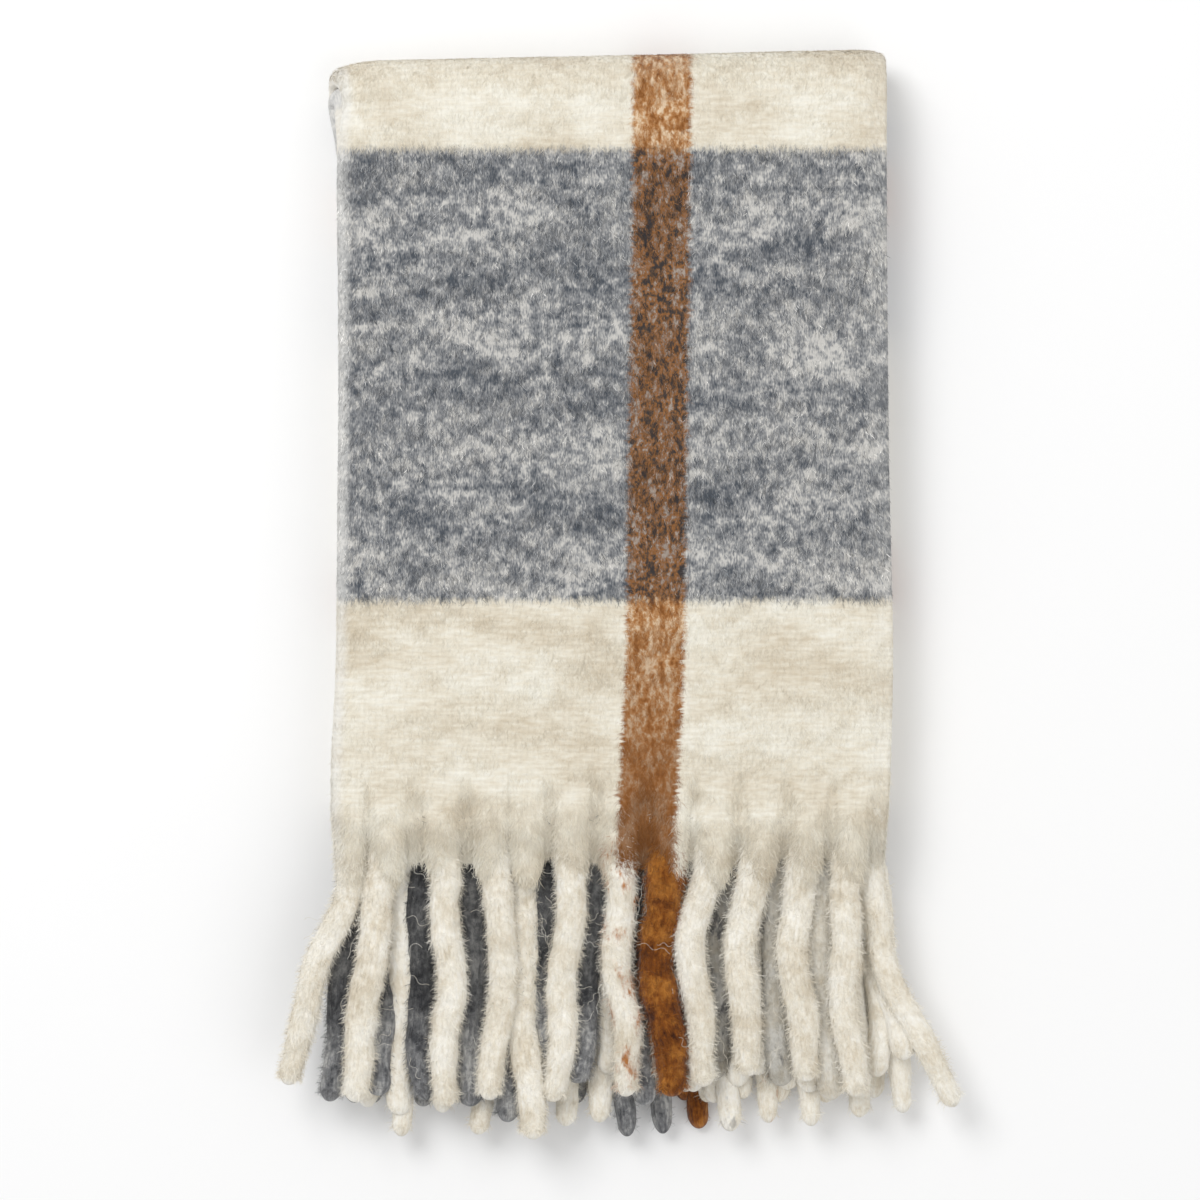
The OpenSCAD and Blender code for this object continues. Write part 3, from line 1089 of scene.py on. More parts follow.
    def fold_patch(self, lower: Leaf, upper: Leaf, w: np.ndarray, turn: np.ndarray) -> Woven:
        """Place a grid of cloth in the turn that joins two leaves.

        Args:
            lower: The leaf under the turn's axis.
            upper: The leaf over the turn's axis.
            w: Distances across the flat cloth, one for each column.
            turn: Angles from the upper leaf (90 degrees) down to the lower one, in radians.

        Returns:
            The patch, settled.
        """
        s = self.stack
        x, z, nx, nz = self.section.at(w, upper.face_up)
        axis_z = (s.leaf_z(lower) + s.leaf_z(upper) + s.leaf_height) / 2
        radius = s.leaf_z(upper) + z - axis_z
        middle_turn = (lower, upper) == (Leaf.GROUND, Leaf.UNDER)
        side = -1.0 if middle_turn else 1.0
        line = np.full_like(x, s.middle_y) if middle_turn else s.fold_line(x)
        seam = line if middle_turn else s.seam_line(x)
        extra = line - seam
        cos, sin = np.cos(turn)[:, None], np.sin(turn)[:, None]
        shape = (len(turn), len(w))
        y = seam + side * (radius + extra) * cos
        plan = np.stack([np.broadcast_to(x, shape), y, axis_z + radius * sin], -1)
        normal = np.stack([np.broadcast_to(nx, shape), side * nz * cos, nz * sin], -1)
        mean = self.outer_radius if lower is Leaf.GROUND and not middle_turn else self.inner_radius
        spent = (math.pi / 2 - turn)[:, None] * mean - extra * sin
        sign = 1.0 if upper is Leaf.FRONT else -1.0
        along = self.along_cloth(upper, x, line) + sign * spent
        cloth = np.stack([np.broadcast_to(w, shape), along, np.zeros(shape)], -1)
        return Woven(self.settling.apply(plan), normal, cloth, np.full(shape, THICKNESS / 2))

    def build_fold(self, name: str, node: str, lower: Leaf, upper: Leaf, steps: int) -> bpy.types.Object:
        """Make the turn of four nested plies that joins two leaves."""
        w = self.section.grid(self.fold_step, self.hidden_step)
        quarter, near = math.pi / 2, math.pi / 2 - SEAM / self.inner_radius
        turn = np.concatenate([[quarter], np.linspace(near, -near, steps), [-quarter]])
        patch = self.fold_patch(lower, upper, w, turn)
        self.round_rims(patch, w, None)
        piece = self.dress(MeshMaker.cloth(name, patch))
        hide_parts(node)
        return piece

    def blend_fold(self, piece: bpy.types.Object) -> None:
        """Fix a top fold in place, with its placement baked into its mesh."""
        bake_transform(piece)

    def grow(
        self,
        rng: np.random.Generator,
        name: str,
        points: np.ndarray,
        normals: np.ndarray,
        brushed: np.ndarray,
        cloth: np.ndarray,
        longer: float = 1.0,
    ) -> bpy.types.Object:
        """Grow the brushed nap of a face.

        Args:
            rng: Seeded source of the fibres' variety.
            name: Name of the piece.
            points: Middle of the cloth where each fibre is rooted.
            normals: Facing of the cloth at each root.
            brushed: Direction in which the cloth is brushed at each root.
            cloth: Place of each root in the flat cloth, which gives the fibre its colour.
            longer: How much longer the fibres are than elsewhere.

        Returns:
            The nap as one piece, dressed.
        """
        count = len(points)
        roots = points + normals * (THICKNESS / 2 - self.nap_sunk)
        length = (self.nap_length[0] * longer, self.nap_length[1] * longer)
        fibres, quads, triangles = Nap.arrays(
            rng, roots, normals, brushed, length, self.nap_width, self.nap_lift, self.nap_stray
        )
        fibres[:, 2] = np.maximum(fibres[:, 2], ABOVE_FLOOR)
        attributes = {
            "cloth": np.repeat(cloth, FIBRE_POINTS, axis=0),
            "tone": Nap.tones(rng, count, self.nap_spread),
        }
        return self.dress(MeshMaker.make(name, fibres, quads, triangles, attributes))

    def leaf_nap(
        self, leaf: Leaf, count: int, name: str, seed: int, until: float = 1.0, longer: float = 1.0
    ) -> bpy.types.Object:
        """Make the nap on a leaf's outer face and rolled sides.

        Args:
            leaf: The leaf.
            count: How many fibres it has.
            name: Name of the piece.
            seed: Seed of the fibres' variety.
            until: How far up the leaf it grows, from the hem, 0, to the top fold, 1.
            longer: How much longer the fibres are than elsewhere.
        """
        rng = np.random.default_rng(seed)
        first, last = self.section.face_span()
        w, share = rng.uniform(first, last, count), rng.uniform(0.003, until, count)
        points, normals, cloth = self.place(leaf, w, share)
        brushed = np.tile(np.array([0.0, -1.0, 0.0]), (count, 1))
        piece = self.grow(rng, name, points, normals, brushed, cloth, longer)
        self.carry(piece, leaf)
        return piece

    def paint_hollow_shade(self, piece: bpy.types.Object) -> None:
        """Paint shade, as a darker tone, on a piece of the front leaf where it sinks between the tassels."""
        mesh = piece.data
        count = len(mesh.vertices)
        places, tones = np.empty(count * 3, np.float32), np.empty(count, np.float32)
        mesh.vertices.foreach_get("co", places)
        mesh.attributes["tone"].data.foreach_get("value", tones)
        # Painted shade in the hollows between the tassels, multiplied into the tone.
        tones *= self.settling.painted_hollow_shade(places.reshape(-1, 3)).astype(np.float32)
        mesh.attributes["tone"].data.foreach_set("value", tones)

    def carry(self, piece: bpy.types.Object, leaf: Leaf) -> None:
        """Let a piece move with its leaf's half; on the front leaf, paint shade in the hollows between the
        tassels and fix the piece in place.
        """
        if leaf is Leaf.FRONT:
            self.paint_hollow_shade(piece)
            blend_with_fringe(piece)
        else:
            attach(piece, "upper_half" if leaf.upper else "lower_half")

    def fold_nap(self, count: int, seed: int) -> bpy.types.Object:
        """Make the nap around the outside of the top fold."""
        s = self.stack
        rng = np.random.default_rng(seed)
        first, last = self.section.face_span()
        w, turn = rng.uniform(first, last, count), rng.uniform(-math.pi / 2, math.pi / 2 + 0.05, count)
        x, z, nx, nz = self.section.at(w, True)
        radius = s.leaf_z(Leaf.FRONT) + z - s.fold_z
        cos, sin = np.cos(turn), np.sin(turn)
        line, seam = s.fold_line(x), s.seam_line(x)
        extra = line - seam
        y = seam + (radius + extra) * cos
        points = self.settling.apply(np.stack([x, y, s.fold_z + radius * sin], -1))
        normals = np.stack([nx, nz * cos, nz * sin], -1)
        along = np.stack([np.zeros(count), sin, -cos], -1)
        spent = (math.pi / 2 - turn) * self.outer_radius - extra * sin
        cloth = np.stack([w, self.along_cloth(Leaf.FRONT, x, line) + spent, np.zeros(count)], -1)
        piece = self.grow(rng, "top_fold_nap", points, normals, -along, cloth)
        self.blend_fold(piece)
        return piece

    def build(self) -> list[bpy.types.Object]:
        """Make the leaves, the folds and their nap."""
        pieces = [self.build_leaf(leaf) for leaf in Leaf]
        outer = self.build_fold("outer_top_fold_cloth", "outer_top_fold", Leaf.GROUND, Leaf.FRONT, 33)
        inner = self.build_fold("inner_top_fold_cloth", "inner_top_fold", Leaf.UNDER, Leaf.BACK, 17)
        middle = self.build_fold("middle_fold_cloth", "middle_fold", Leaf.GROUND, Leaf.UNDER, 17)
        self.blend_fold(outer)
        self.blend_fold(inner)
        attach(middle, "lower_half")
        naps = [
            self.leaf_nap(Leaf.FRONT, 64000, "front_leaf_nap_first", SEED + 10),
            self.leaf_nap(Leaf.FRONT, 64000, "front_leaf_nap_second", SEED + 11),
            self.leaf_nap(Leaf.FRONT, 64000, "front_leaf_nap_third", SEED + 16),
            self.leaf_nap(Leaf.FRONT, 26000, "front_hem_nap", SEED + 17, until=0.12, longer=1.6),
            self.fold_nap(34000, SEED + 12),
            self.leaf_nap(Leaf.BACK, 16000, "back_leaf_nap", SEED + 13),
            self.leaf_nap(Leaf.UNDER, 16000, "under_leaf_nap", SEED + 14),
            self.leaf_nap(Leaf.GROUND, 12000, "ground_leaf_nap", SEED + 15),
        ]
        return pieces + [outer, inner, middle] + naps


# ---- Fringes ----


@dataclass(frozen=True)
class Lay:
    """How one tassel lies, in millimetres: its root, middle and tip along x, and its end along y.

    The dip is how far it sinks between its neighbours, and the turn is how briskly it veers at its
    middle, as a share of the whole way from root to tip.
    """

    root: float
    middle: float
    tip: float
    end: float
    dip: float = 0.0
    turn: float = 0.5


FRONT_LAYS: dict[int, Lay] = {
    0: Lay(-161, -174, -196, -286, turn=1.4),
    1: Lay(-138, -148, -159, -296),
    2: Lay(-106, -102, -105, -299),
    3: Lay(-77, -70, -79, -295),
    4: Lay(-57, -59, -53, -318, dip=7),
    5: Lay(-30, -33, -40, -296),
    6: Lay(-2, -2, 4, -293),
    7: Lay(28, 21, 31, -293),
    8: Lay(54, 41, 50, -287),
    9: Lay(81, 70, 75, -281),
    10: Lay(108, 101, 110, -284),
    11: Lay(134, 130, 136, -293),
}
SECOND_LAYS: dict[int, Lay] = {
    0: Lay(-150, -163, -172, -297),
    1: Lay(-116, -119, -117, -296),
    2: Lay(-91, -88, -91, -300),
    3: Lay(-64, -62, -69, -309),
    4: Lay(-45, -47, -48, -272),
    5: Lay(-16, -20, -27, -286),
    6: Lay(22, 21, 27, -284),
    7: Lay(40, 37, 40, -276),
    8: Lay(63, 55, 58, -274),
    9: Lay(93, 90, 92, -288),
    10: Lay(119, 117, 124, -296),
    11: Lay(146, 154, 198, -300),
}
THIRD_LAYS: dict[int, Lay] = {
    0: Lay(-158, -164, -168, -290),
    1: Lay(-136, -142, -144, -294),
    2: Lay(-104, -104, -106, -290),
    3: Lay(-77, -76, -80, -288),
    4: Lay(-52, -54, -60, -290),
    5: Lay(-28, -32, -36, -288),
    6: Lay(6, 8, 12, -300),
    11: Lay(136, 151, 166, -273),
}
FOURTH_LAYS: dict[int, Lay] = {0: Lay(-134, -130, -131, -306, dip=-5), 1: Lay(-117, -112, -108, -290)}
BACK_FIRST_LAYS: dict[int, Lay] = {
    0: Lay(-154, -152, -150, -302),
    1: Lay(-130, -131, -132, -319),
    2: Lay(-104, -106, -108, -305),
    3: Lay(-78, -82, -85, -318),
    4: Lay(-52, -52, -53, -320),
    5: Lay(-27, -31, -35, -313),
    6: Lay(-2, -9, -15, -311),
    7: Lay(28, 26, 24, -292),
    8: Lay(54, 60, 65, -316),
    9: Lay(79, 82, 86, -311),
    10: Lay(105, 107, 111, -313),
    11: Lay(132, 136, 142, -308),
}
BACK_SECOND_LAYS: dict[int, Lay] = {
    5: Lay(-11, -4, 1, -320),
    6: Lay(14, 18, 12, -296),
    7: Lay(40, 46, 54, -300),
    11: Lay(144, 154, 169, -306),
}
BACK_THIRD_LAYS: dict[int, Lay] = {6: Lay(2, 14, 24, -319), 7: Lay(27, 34, 38, -294)}
BACK_FOURTH_LAYS: dict[int, Lay] = {6: Lay(17, 33, 47, -317)}
LAYS = (
    FRONT_LAYS,
    SECOND_LAYS,
    THIRD_LAYS,
    FOURTH_LAYS,
    BACK_FIRST_LAYS,
    BACK_SECOND_LAYS,
    BACK_THIRD_LAYS,
    BACK_FOURTH_LAYS,
)
FRONT_ROWS = 4
TASSELS_PER_ROW = 12
LEFT_CORNER, RIGHT_CORNER = (0, 0), (1, TASSELS_PER_ROW - 1)
CORNERS = {LEFT_CORNER: "left_corner_tassel", RIGHT_CORNER: "right_corner_tassel"}
OCHRE_FLECKED = {(0, 6): 1.0, (4, 9): 0.8, (1, 7): 2.6}
SLATE_FLECKED = {(1, 8): 1.6, (1, 9): 1.3, (2, 8): 0.8, (2, 9): 1.0, (4, 8): 0.8, (5, 8): 0.8}
# Painted shade: tassels that lie deep in the gaps of the front fringe are darkened by these factors.
PAINTED_GAP_SHADE = {(1, 7): 0.30, (1, 8): 0.36, (1, 9): 0.62, (1, 10): 0.85, (2, 7): 0.4, (2, 8): 0.5}


@dataclass(frozen=True)
class Tassel:
    """One felted tassel: its row and number, colour and lay."""

    row: int
    number: int
    tone: Tone
    lay: Lay
    root_z: float
    tip_z: float
    hem: float
    pitch: float

    RINGS = 76
    SIDES = 20
    TIP_RINGS = 10
    TIP_AT = 0.955
    HALF_WIDE = 9.1 * MM
    HALF_TALL = 5.4 * MM
    ROOT_HALF_TALL = 3.1 * MM
    FLARE_START = 12 * MM
    FLARE_REACH = 34 * MM
    ROUND_REACH = 9 * MM
    OVER_HEM = 7 * MM
    ROOT_SUNK = 2.2 * MM
    RIPPLE_HEIGHT = 0.8 * MM
    YARN_RADIUS = 7 * MM

    @property
    def seed(self) -> int:
        """Return the seed of this tassel's variety."""
        return SEED * 100 + self.row * 20 + self.number

    def centre(self, t: np.ndarray) -> np.ndarray:
        """Return points of the tassel's middle line.

        Args:
            t: Places from the root, 0, to the tip, 1.
        """
        lay, rng = self.lay, np.random.default_rng(self.seed)
        swing = lay.tip - lay.root
        x = np.where(
            t < 0.5,
            self._curve(t * 2, lay.root, lay.middle, 0.0, lay.turn * swing),
            self._curve(t * 2 - 1, lay.middle, lay.tip, lay.turn * swing, 1.1 * (lay.tip - lay.middle)),
        )
        wave, phase = rng.uniform(0.8, 2.0), rng.uniform(0, 2 * math.pi)
        x = x + wave * np.sin(2 * math.pi * 2.2 * t + phase) * smooth(t * 3)
        start = self.hem + self.OVER_HEM
        y = start + (lay.end * MM - start) * t
        sag = smooth(t * (5.0 if 0 < self.row < FRONT_ROWS else 1.25))
        root_z = self.root_z - (self.ROOT_SUNK if self.row == 0 else 0.0)
        z = root_z + (self.tip_z - root_z) * sag
        z = z + self.RIPPLE_HEIGHT * np.sin(2 * math.pi * 1.7 * t + phase * 2) * smooth(t * 3)
        z = z - lay.dip * MM * smooth(t * 6) * smooth(2.3 - 2.6 * t)
        return np.stack([x * MM, y, z], -1)

    @staticmethod
    def _curve(t: np.ndarray, a: float, b: float, slope_a: float, slope_b: float) -> np.ndarray:
        """Return a cubic from a to b with given slopes at its ends."""
        t = np.clip(t, 0, 1)
        h00, h10 = 2 * t**3 - 3 * t**2 + 1, t**3 - 2 * t**2 + t
        h01, h11 = -2 * t**3 + 3 * t**2, t**3 - t**2
        return h00 * a + h10 * slope_a + h01 * b + h11 * slope_b

    def shape(self) -> tuple[np.ndarray, np.ndarray, np.ndarray, np.ndarray]:
        """Return the rings' points, facings, yarn places and directions, each by ring and side."""
        rng = np.random.default_rng(self.seed + 7)
        body = np.linspace(0, self.TIP_AT, self.RINGS - self.TIP_RINGS)
        quarter = np.linspace(0, math.pi / 2, self.TIP_RINGS + 1)[1:] * 0.995
        tip = self.TIP_AT + (1 - self.TIP_AT) * np.sin(quarter)
        t = np.concatenate([body, tip])
        centre = self.centre(t)
        ahead = unit(np.gradient(centre, t, axis=0))
        side = unit(np.cross(ahead, np.array([0.0, 0.0, 1.0])))
        up = unit(np.cross(side, ahead))
        steps = np.linalg.norm(np.diff(centre, axis=0), axis=1)
        run = np.concatenate([[0.0], np.cumsum(steps)])
        flare = smooth(1 - (run - self.FLARE_START) / self.FLARE_REACH)
        corner = (self.row, self.number) in CORNERS
        slim = 0.86 if corner or self.row >= FRONT_ROWS else 1.0
        broad = 1.12 if self.tone is Tone.OCHRE and self.row == 0 else 1.0
        half_wide = self.HALF_WIDE * slim * broad * rng.uniform(0.94, 1.06)
        root_wide = self.pitch * (0.31 if corner else 0.35)
        taper = 1 - 0.05 * t - 0.17 * smooth((t - 0.70) / 0.30)
        wide = half_wide * taper + (root_wide - half_wide) * flare
        tall = self.HALF_TALL * slim + (self.ROOT_HALF_TALL - self.HALF_TALL * slim) * flare
        left = run[-1] - run
        round_tip = np.sqrt(np.clip(1 - np.clip(1 - left / self.ROUND_REACH, 0, 1) ** 2, 0, 1))
        lump = Ripple(self.seed + 1, 26 * MM, waves=6)
        fine = Ripple(self.seed + 2, 9 * MM, waves=8)
        angle = np.linspace(0, 2 * math.pi, self.SIDES, endpoint=False)
        along, around = np.meshgrid(run, angle, indexing="ij")
        loop = np.cos(around) * half_wide, np.sin(around) * half_wide
        lumps = 1 + 0.075 * lump.at(along, loop[0] * 0.7) + 0.045 * fine.at(along, loop[1] + loop[0])
        reach = np.stack(
            [np.cos(around) * wide[:, None] * lumps, np.sin(around) * tall[:, None] * lumps], -1
        )
        reach = reach * np.maximum(round_tip, 0.02)[:, None, None]
        points = (
            centre[:, None, :] + side[:, None, :] * reach[..., :1] + up[:, None, :] * reach[..., 1:]
        )
        normal = side[:, None, :] * (np.cos(around) / wide[:, None])[..., None]
        normal = unit(normal + up[:, None, :] * (np.sin(around) / tall[:, None])[..., None])
        yarn = np.stack([around * self.YARN_RADIUS, along, np.full(along.shape, self.seed * 0.37)], -1)
        direction = np.broadcast_to(ahead[:, None, :], points.shape)
        return points, normal, yarn, direction


class Fringe:
    """Both fringes: eight rows of felted tassels, each CAD node as one piece."""

    OCHRE_WARP = Stripe(0.515, 0.018)
    WISP_WIDTH = 0.15 * MM
    LIE = (43.2, 34.5, 30.5, 27.0, 23.5, 18.5, 12.5, 6.5)
    FUZZ_BY_ROW = (8400, 4600, 1500, 900, 1800, 900, 600, 400)

    def __init__(self, stack: Stack, settling: Settling, finishes: Finishes) -> None:
        """Keep the plan and the finishes.

        Args:
            stack: Sizes of the folded throw.
            settling: How the soft stack lies.
            finishes: The shared materials.
        """
        self.stack, self.settling, self.finishes = stack, settling, finishes
        self.count = TASSELS_PER_ROW
        self.pitch = stack.width / (self.count + 0.5)

    def from_left(self, row: int, number: int) -> float:
        """Return how far a tassel's root is from the left side; every other row is set half a pitch on."""
        return self.pitch * (number + (0.5 if row % 2 == 0 else 1.0))

    def hem_of(self, row: int) -> float:
        """Return where the hem of a row lies along y."""
        return self.stack.front_hem if row < FRONT_ROWS else self.stack.back_hem

    def tone(self, row: int, number: int) -> Tone:
        """Return the colour of the yarn that a tassel is made of, from its place in the plaid."""
        from_left, width = self.from_left(row, number), self.stack.width
        ply = row if row < FRONT_ROWS else 2 * FRONT_ROWS - 1 - row
        across = (width + from_left, 3 * width - from_left, 3 * width + from_left, width - from_left)[ply]
        if abs(across - self.OCHRE_WARP.middle) < self.OCHRE_WARP.half:
            return Tone.OCHRE
        in_slate = abs(across - PlaidFinish.slate_warp.middle) < PlaidFinish.slate_warp.half
        return Tone.SLATE if in_slate else Tone.IVORY

    def lay(self, row: int, number: int) -> Lay:
        """Return how a tassel lies: as listed where it shows, and otherwise with a slight fan."""
        if number in LAYS[row]:
            return LAYS[row][number]
        rng = np.random.default_rng(SEED + row * 31 + number)
        root = (self.stack.left + self.from_left(row, number)) / MM
        fan = 0.045 * (root + 6) + rng.uniform(-4, 4)
        reach, spread = (163, 12) if row < FRONT_ROWS else (158, 6)
        end = self.hem_of(row) / MM - reach + rng.uniform(0, spread)
        return Lay(root, root + 0.5 * fan + rng.uniform(-4, 4), root + fan, end)

    def tassels(self, row: int) -> list[Tassel]:
        """Return all the tassels of a row, from left to right."""
        hem = self.hem_of(row)
        root_z = self.stack.height - self.stack.ply_thickness / 2 - row * self.stack.ply_pitch
        return [
            Tassel(
                row, i, self.tone(row, i), self.lay(row, i), root_z, self.LIE[row] * MM, hem, self.pitch
            )
            for i in range(self.count)
        ]

    def node_of(self, tassel: Tassel) -> str:
        """Return the CAD node that a tassel belongs to."""
        row = tassel.row
        if (row, tassel.number) in CORNERS:
            return CORNERS[row, tassel.number]
        side, number = ("front", row + 1) if row < FRONT_ROWS else ("back", row + 1 - FRONT_ROWS)
        plural = "tassel" if tassel.tone is Tone.OCHRE else "tassels"
        return f"{side}_row_{number}_{tassel.tone.value}_{plural}"

    def mesh_of(self, tassel: Tassel) -> tuple[np.ndarray, ...]:
        """Return a tassel's points, quads, triangles and attributes, with its fuzz."""
        points, normal, yarn, direction = tassel.shape()
        fade = 1 - smooth((tassel.hem - points[..., 1] - 35 * MM) / (45 * MM))
        points[..., 2] += fade * self.settling.rise(points[..., 0], points[..., 1])
        rings, sides = points.shape[:2]
        index = np.arange(rings * sides).reshape(rings, sides)
        wrapped = np.concatenate([index, index[:, :1]], axis=1)
        quads = np.stack(
            [wrapped[:-1, :-1], wrapped[:-1, 1:], wrapped[1:, 1:], wrapped[1:, :-1]], -1
        ).reshape(-1, 4)[:, ::-1]
        start, end = points[0].mean(0), points[-1].mean(0)
        first = rings * sides
        ring = np.arange(sides)
        following = (ring + 1) % sides
        caps = np.concatenate(
            [
                np.stack([following, np.full(sides, first), ring], -1),
                np.stack([index[-1][ring], np.full(sides, first + 1), index[-1][following]], -1),
            ]
        )[:, ::-1]
        body = np.concatenate([points.reshape(-1, 3), [start, end]])
        place = np.concatenate([yarn.reshape(-1, 3), yarn[0, :1], yarn[-1, :1]])
        rng = np.random.default_rng(tassel.seed + 3)
        n = self.FUZZ_BY_ROW[tassel.row]
        rows, spots = rng.integers(2, rings - 7, n), rng.integers(0, sides, n)
        slide = rng.uniform(0, 1, n)[:, None]
        roots = points[rows, spots] * slide + points[rows - 1, spots] * (1 - slide)
        fibres, fuzz_quads, fuzz_triangles = Nap.arrays(
            rng,
            roots,
            normal[rows, spots],
            direction[rows, spots],
            length=(2.0 * MM, 5.5 * MM),
            width=0.20 * MM,
            lift=(0.05, 0.75),
            stray=0.9,
        )
        shift = len(body)
        everything = np.concatenate([body, fibres])
        all_quads = np.concatenate([quads, fuzz_quads + shift])
        all_triangles = np.concatenate([caps, fuzz_triangles + shift])
        places = np.concatenate([place, np.repeat(yarn[rows, spots], FIBRE_POINTS, axis=0)])
        spread = 0.07 if tassel.tone is Tone.IVORY else 0.32
        tones = np.concatenate([np.ones(shift), Nap.tones(rng, n, spread)])
        # Painted shade on tassels that lie deep in the gaps.
        tones = tones * PAINTED_GAP_SHADE.get((tassel.row, tassel.number), 1.0)
        # Partly painted shade: the inner slate tassels are darker towards their roots, down in the gaps.
        if tassel.tone is Tone.SLATE and tassel.row in (1, 2):
            tones = tones * self.shade(places[:, 1] / yarn[-1, 0, 1])
        everything[:, 2] = np.maximum(everything[:, 2], ABOVE_FLOOR)
        return everything, all_quads, all_triangles, places, tones

    @staticmethod
    def shade(along: np.ndarray) -> np.ndarray:
        """Return the darkness of the inner slate tassels, charcoal down to a paler tip: partly a darker yarn
        and partly painted shade where they lie deep in the gaps.
        """
        return 0.40 + 0.85 * smooth((along - 0.58) / 0.36)

    def build_piece(self, node: str, members: list[Tassel]) -> bpy.types.Object:
        """Make all tassels of one CAD node as one piece."""
        parts: list[list[np.ndarray]] = [[], [], [], [], [], [], []]
        shift = 0
        for tassel in members:
            points, quads, triangles, places, tones = self.mesh_of(tassel)
            key = (tassel.row, tassel.number)
            ochre = np.full(len(points), OCHRE_FLECKED.get(key, 0.0))
            slate = np.full(len(points), SLATE_FLECKED.get(key, 0.0))
            columns = (points, quads + shift, triangles + shift, places, tones, ochre, slate)
            for store, values in zip(parts, columns):
                store.append(values)
            shift += len(points)
        joined = [np.concatenate(part) for part in parts]
        attributes = {
            "yarn": joined[3],
            "tone": joined[4],
            "ochre_flecks": joined[5],
            "slate_flecks": joined[6],
        }
        piece = MeshMaker.make(f"{node}_wool", joined[0], joined[1], joined[2], attributes)
        tone = members[0].tone
        piece.data.materials.append(self.finishes.tassels[tone])
        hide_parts(node)
        self.attach(piece, node, members[0])
        return piece

    def attach(self, piece: bpy.types.Object, node: str, tassel: Tassel) -> None:
        """Ride a piece on the upper half, or fix it in place with its placement baked into its mesh."""
        if node == CORNERS[LEFT_CORNER]:
            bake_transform(piece)
        elif node == CORNERS[RIGHT_CORNER]:
            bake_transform(piece)
        elif tassel.row == 0:
            blend_with_fringe(piece)
        else:
            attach(piece, "upper_half")

    def build_wisps(self, count: int = 150, joints: int = 18) -> bpy.types.Object:
        """Make the long loose fibres that curl across the gaps of the front fringe.

        Args:
            count: How many fibres there are.
            joints: How many short straight runs each fibre is made of.
        """
        rng = np.random.default_rng(SEED + 60)
        step = rng.uniform(0.9, 1.7, count) * MM
        heading = rng.normal(-math.pi / 2, 0.7, count)
        curl, pace = rng.uniform(0.15, 0.75, count), rng.uniform(0.35, 1.1, count)
        phase = rng.uniform(0, 2 * math.pi, count)
        gap = rng.integers(0, self.count - 1, count)
        middle = np.array([tassel.lay.middle for tassel in self.tassels(0)]) * MM
        share = rng.uniform(0.2, 0.8, count)
        x = middle[gap] * (1 - share) + middle[gap + 1] * share
        y = self.stack.front_hem - rng.uniform(18, 140, count) * MM
        z = rng.uniform(44.0, 47.5, count) * MM
        line = []
        for k in range(joints):
            line.append(np.stack([x, y, z], -1))
            heading = heading + curl * np.sin(pace * k + phase)
            x, y = x + step * np.cos(heading), y + step * np.sin(heading)
            z = np.clip(z + rng.normal(0, 0.5, count) * MM, 42 * MM, 49.5 * MM)
        middle_line = np.stack(line, 1)
        ahead = unit(np.gradient(middle_line, axis=1))
        side = np.stack([ahead[..., 1], -ahead[..., 0], np.zeros_like(z)[:, None] * ahead[..., 2]], -1)
        half = unit(side) * self.WISP_WIDTH / 2
        points = np.stack([middle_line - half, middle_line + half], 2).reshape(-1, 3)
        index = np.arange(len(points)).reshape(count, joints, 2)
        quads = np.stack(
            [index[:, :-1, 0], index[:, :-1, 1], index[:, 1:, 1], index[:, 1:, 0]], -1
        ).reshape(-1, 4)
        plain = np.zeros(len(points))
        attributes = {
            "yarn": points,
            "tone": np.full(len(points), 0.92),
            "ochre_flecks": plain,
            "slate_flecks": plain,
        }
        piece = MeshMaker.make("front_fringe_loose_fibres", points, quads, NO_TRIANGLES, attributes)
        piece.data.materials.append(self.finishes.tassels[Tone.IVORY])
        blend_with_fringe(piece)
        return piece

    def build(self) -> list[bpy.types.Object]:
        """Make every tassel piece, from the front fringe's top row down."""
        groups: dict[str, list[Tassel]] = {}
        for row in range(2 * FRONT_ROWS):
            for tassel in self.tassels(row):
                groups.setdefault(self.node_of(tassel), []).append(tassel)
        pieces = [self.build_piece(node, members) for node, members in groups.items()]
        return pieces + [self.build_wisps()]


# ---- Studio ----


@dataclass(frozen=True)
class Lamp:
    """A square soft light: where it hangs, its size in metres and its power in watts."""

    name: str
    place: tuple[float, float, float]
    size: float
    power: float


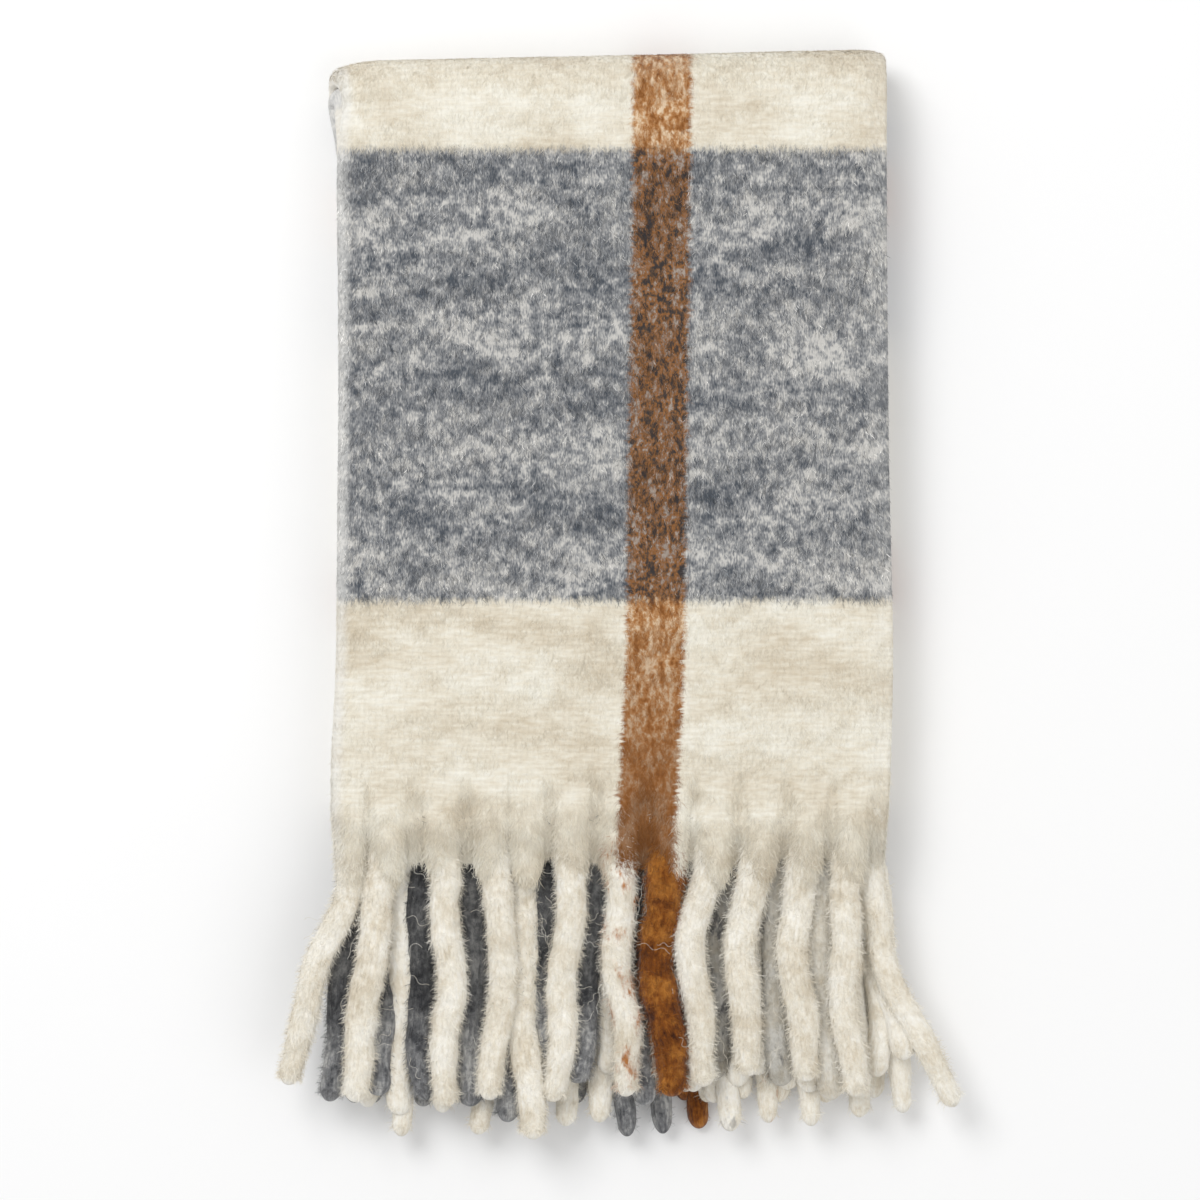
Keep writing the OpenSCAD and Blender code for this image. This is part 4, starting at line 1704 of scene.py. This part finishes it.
@dataclass(frozen=True)
class Studio:
    """A pale floor, soft light from above and a camera that looks straight down."""

    distance: float = 2.2
    view_width: float = 0.708
    view_height: float = 0.036
    sensor_width: float = 36.0
    aim: tuple[float, float] = (-0.0133, -0.0009)
    floor_size: float = 12.0
    floor_color: tuple[float, ...] = (0.93, 0.93, 0.93, 1.0)
    white: tuple[float, ...] = (1.0, 1.0, 1.0, 1.0)
    surround: float = 0.62
    lamps: tuple[Lamp, ...] = (
        Lamp("key_light", (-1.1, 1.3, 2.4), 1.4, 40.0),
        Lamp("fill_light", (1.6, -1.0, 2.4), 2.2, 15.0),
    )

    def build_floor(self) -> None:
        """Lay the pale floor."""
        half = self.floor_size / 2
        corners = [(-half, -half, 0.0), (half, -half, 0.0), (half, half, 0.0), (-half, half, 0.0)]
        mesh = bpy.data.meshes.new("floor")
        mesh.from_pydata(corners, [], [(0, 1, 2, 3)])
        floor = bpy.data.objects.new("floor", mesh)
        bpy.context.scene.collection.objects.link(floor)
        material = bpy.data.materials.new("studio_floor")
        material.use_nodes = True
        shader = material.node_tree.nodes["Principled BSDF"]
        shader.inputs["Base Color"].default_value = self.floor_color
        shader.inputs["Roughness"].default_value = 0.9
        mesh.materials.append(material)

    def hang(self, lamp: Lamp) -> None:
        """Hang a soft light that faces the throw."""
        light = bpy.data.lights.new(lamp.name, "AREA")
        light.size, light.energy = lamp.size, lamp.power
        holder = bpy.data.objects.new(lamp.name, light)
        holder.location = lamp.place
        towards_throw = Vector((0, 0, 0)) - Vector(lamp.place)
        holder.rotation_euler = towards_throw.to_track_quat("-Z", "Y").to_euler()
        bpy.context.scene.collection.objects.link(holder)

    def build(self) -> None:
        """Set up floor, lights, surroundings and camera."""
        self.build_floor()
        for lamp in self.lamps:
            self.hang(lamp)
        world = bpy.data.worlds.new("studio")
        world.use_nodes = True
        color, strength = world.node_tree.nodes["Background"].inputs[:2]
        color.default_value, strength.default_value = self.white, self.surround
        bpy.context.scene.world = world
        bpy.context.scene.view_settings.view_transform = "Standard"
        lens = bpy.data.cameras.new("camera")
        lens.sensor_width = self.sensor_width
        lens.lens = self.sensor_width * (self.distance - self.view_height) / self.view_width
        camera = bpy.data.objects.new("camera", lens)
        camera.location = (self.aim[0], self.aim[1], self.distance)
        bpy.context.scene.collection.objects.link(camera)
        bpy.context.scene.camera = camera


# ---- The whole throw ----


def report(pieces: list[bpy.types.Object]) -> None:
    """Log each piece with its number of points and faces."""
    for piece in pieces:
        log.info("%s: %d points, %d faces", piece.name, len(piece.data.vertices), len(piece.data.polygons))


def main() -> None:
    """Build the studio, the cloth and the fringes, in that order."""
    logging.basicConfig(level=logging.INFO, format="%(name)s: %(message)s")
    Studio().build()
    stack = Stack.from_frame()
    section = StripSection(stack)
    finishes = Finishes()
    settling = Settling(stack, [lay.root * MM for lay in FRONT_LAYS.values()])
    report(FoldedCloth(stack, section, settling, finishes.plaid).build())
    report(Fringe(stack, settling, finishes).build())


if __name__ == "__main__":
    main()
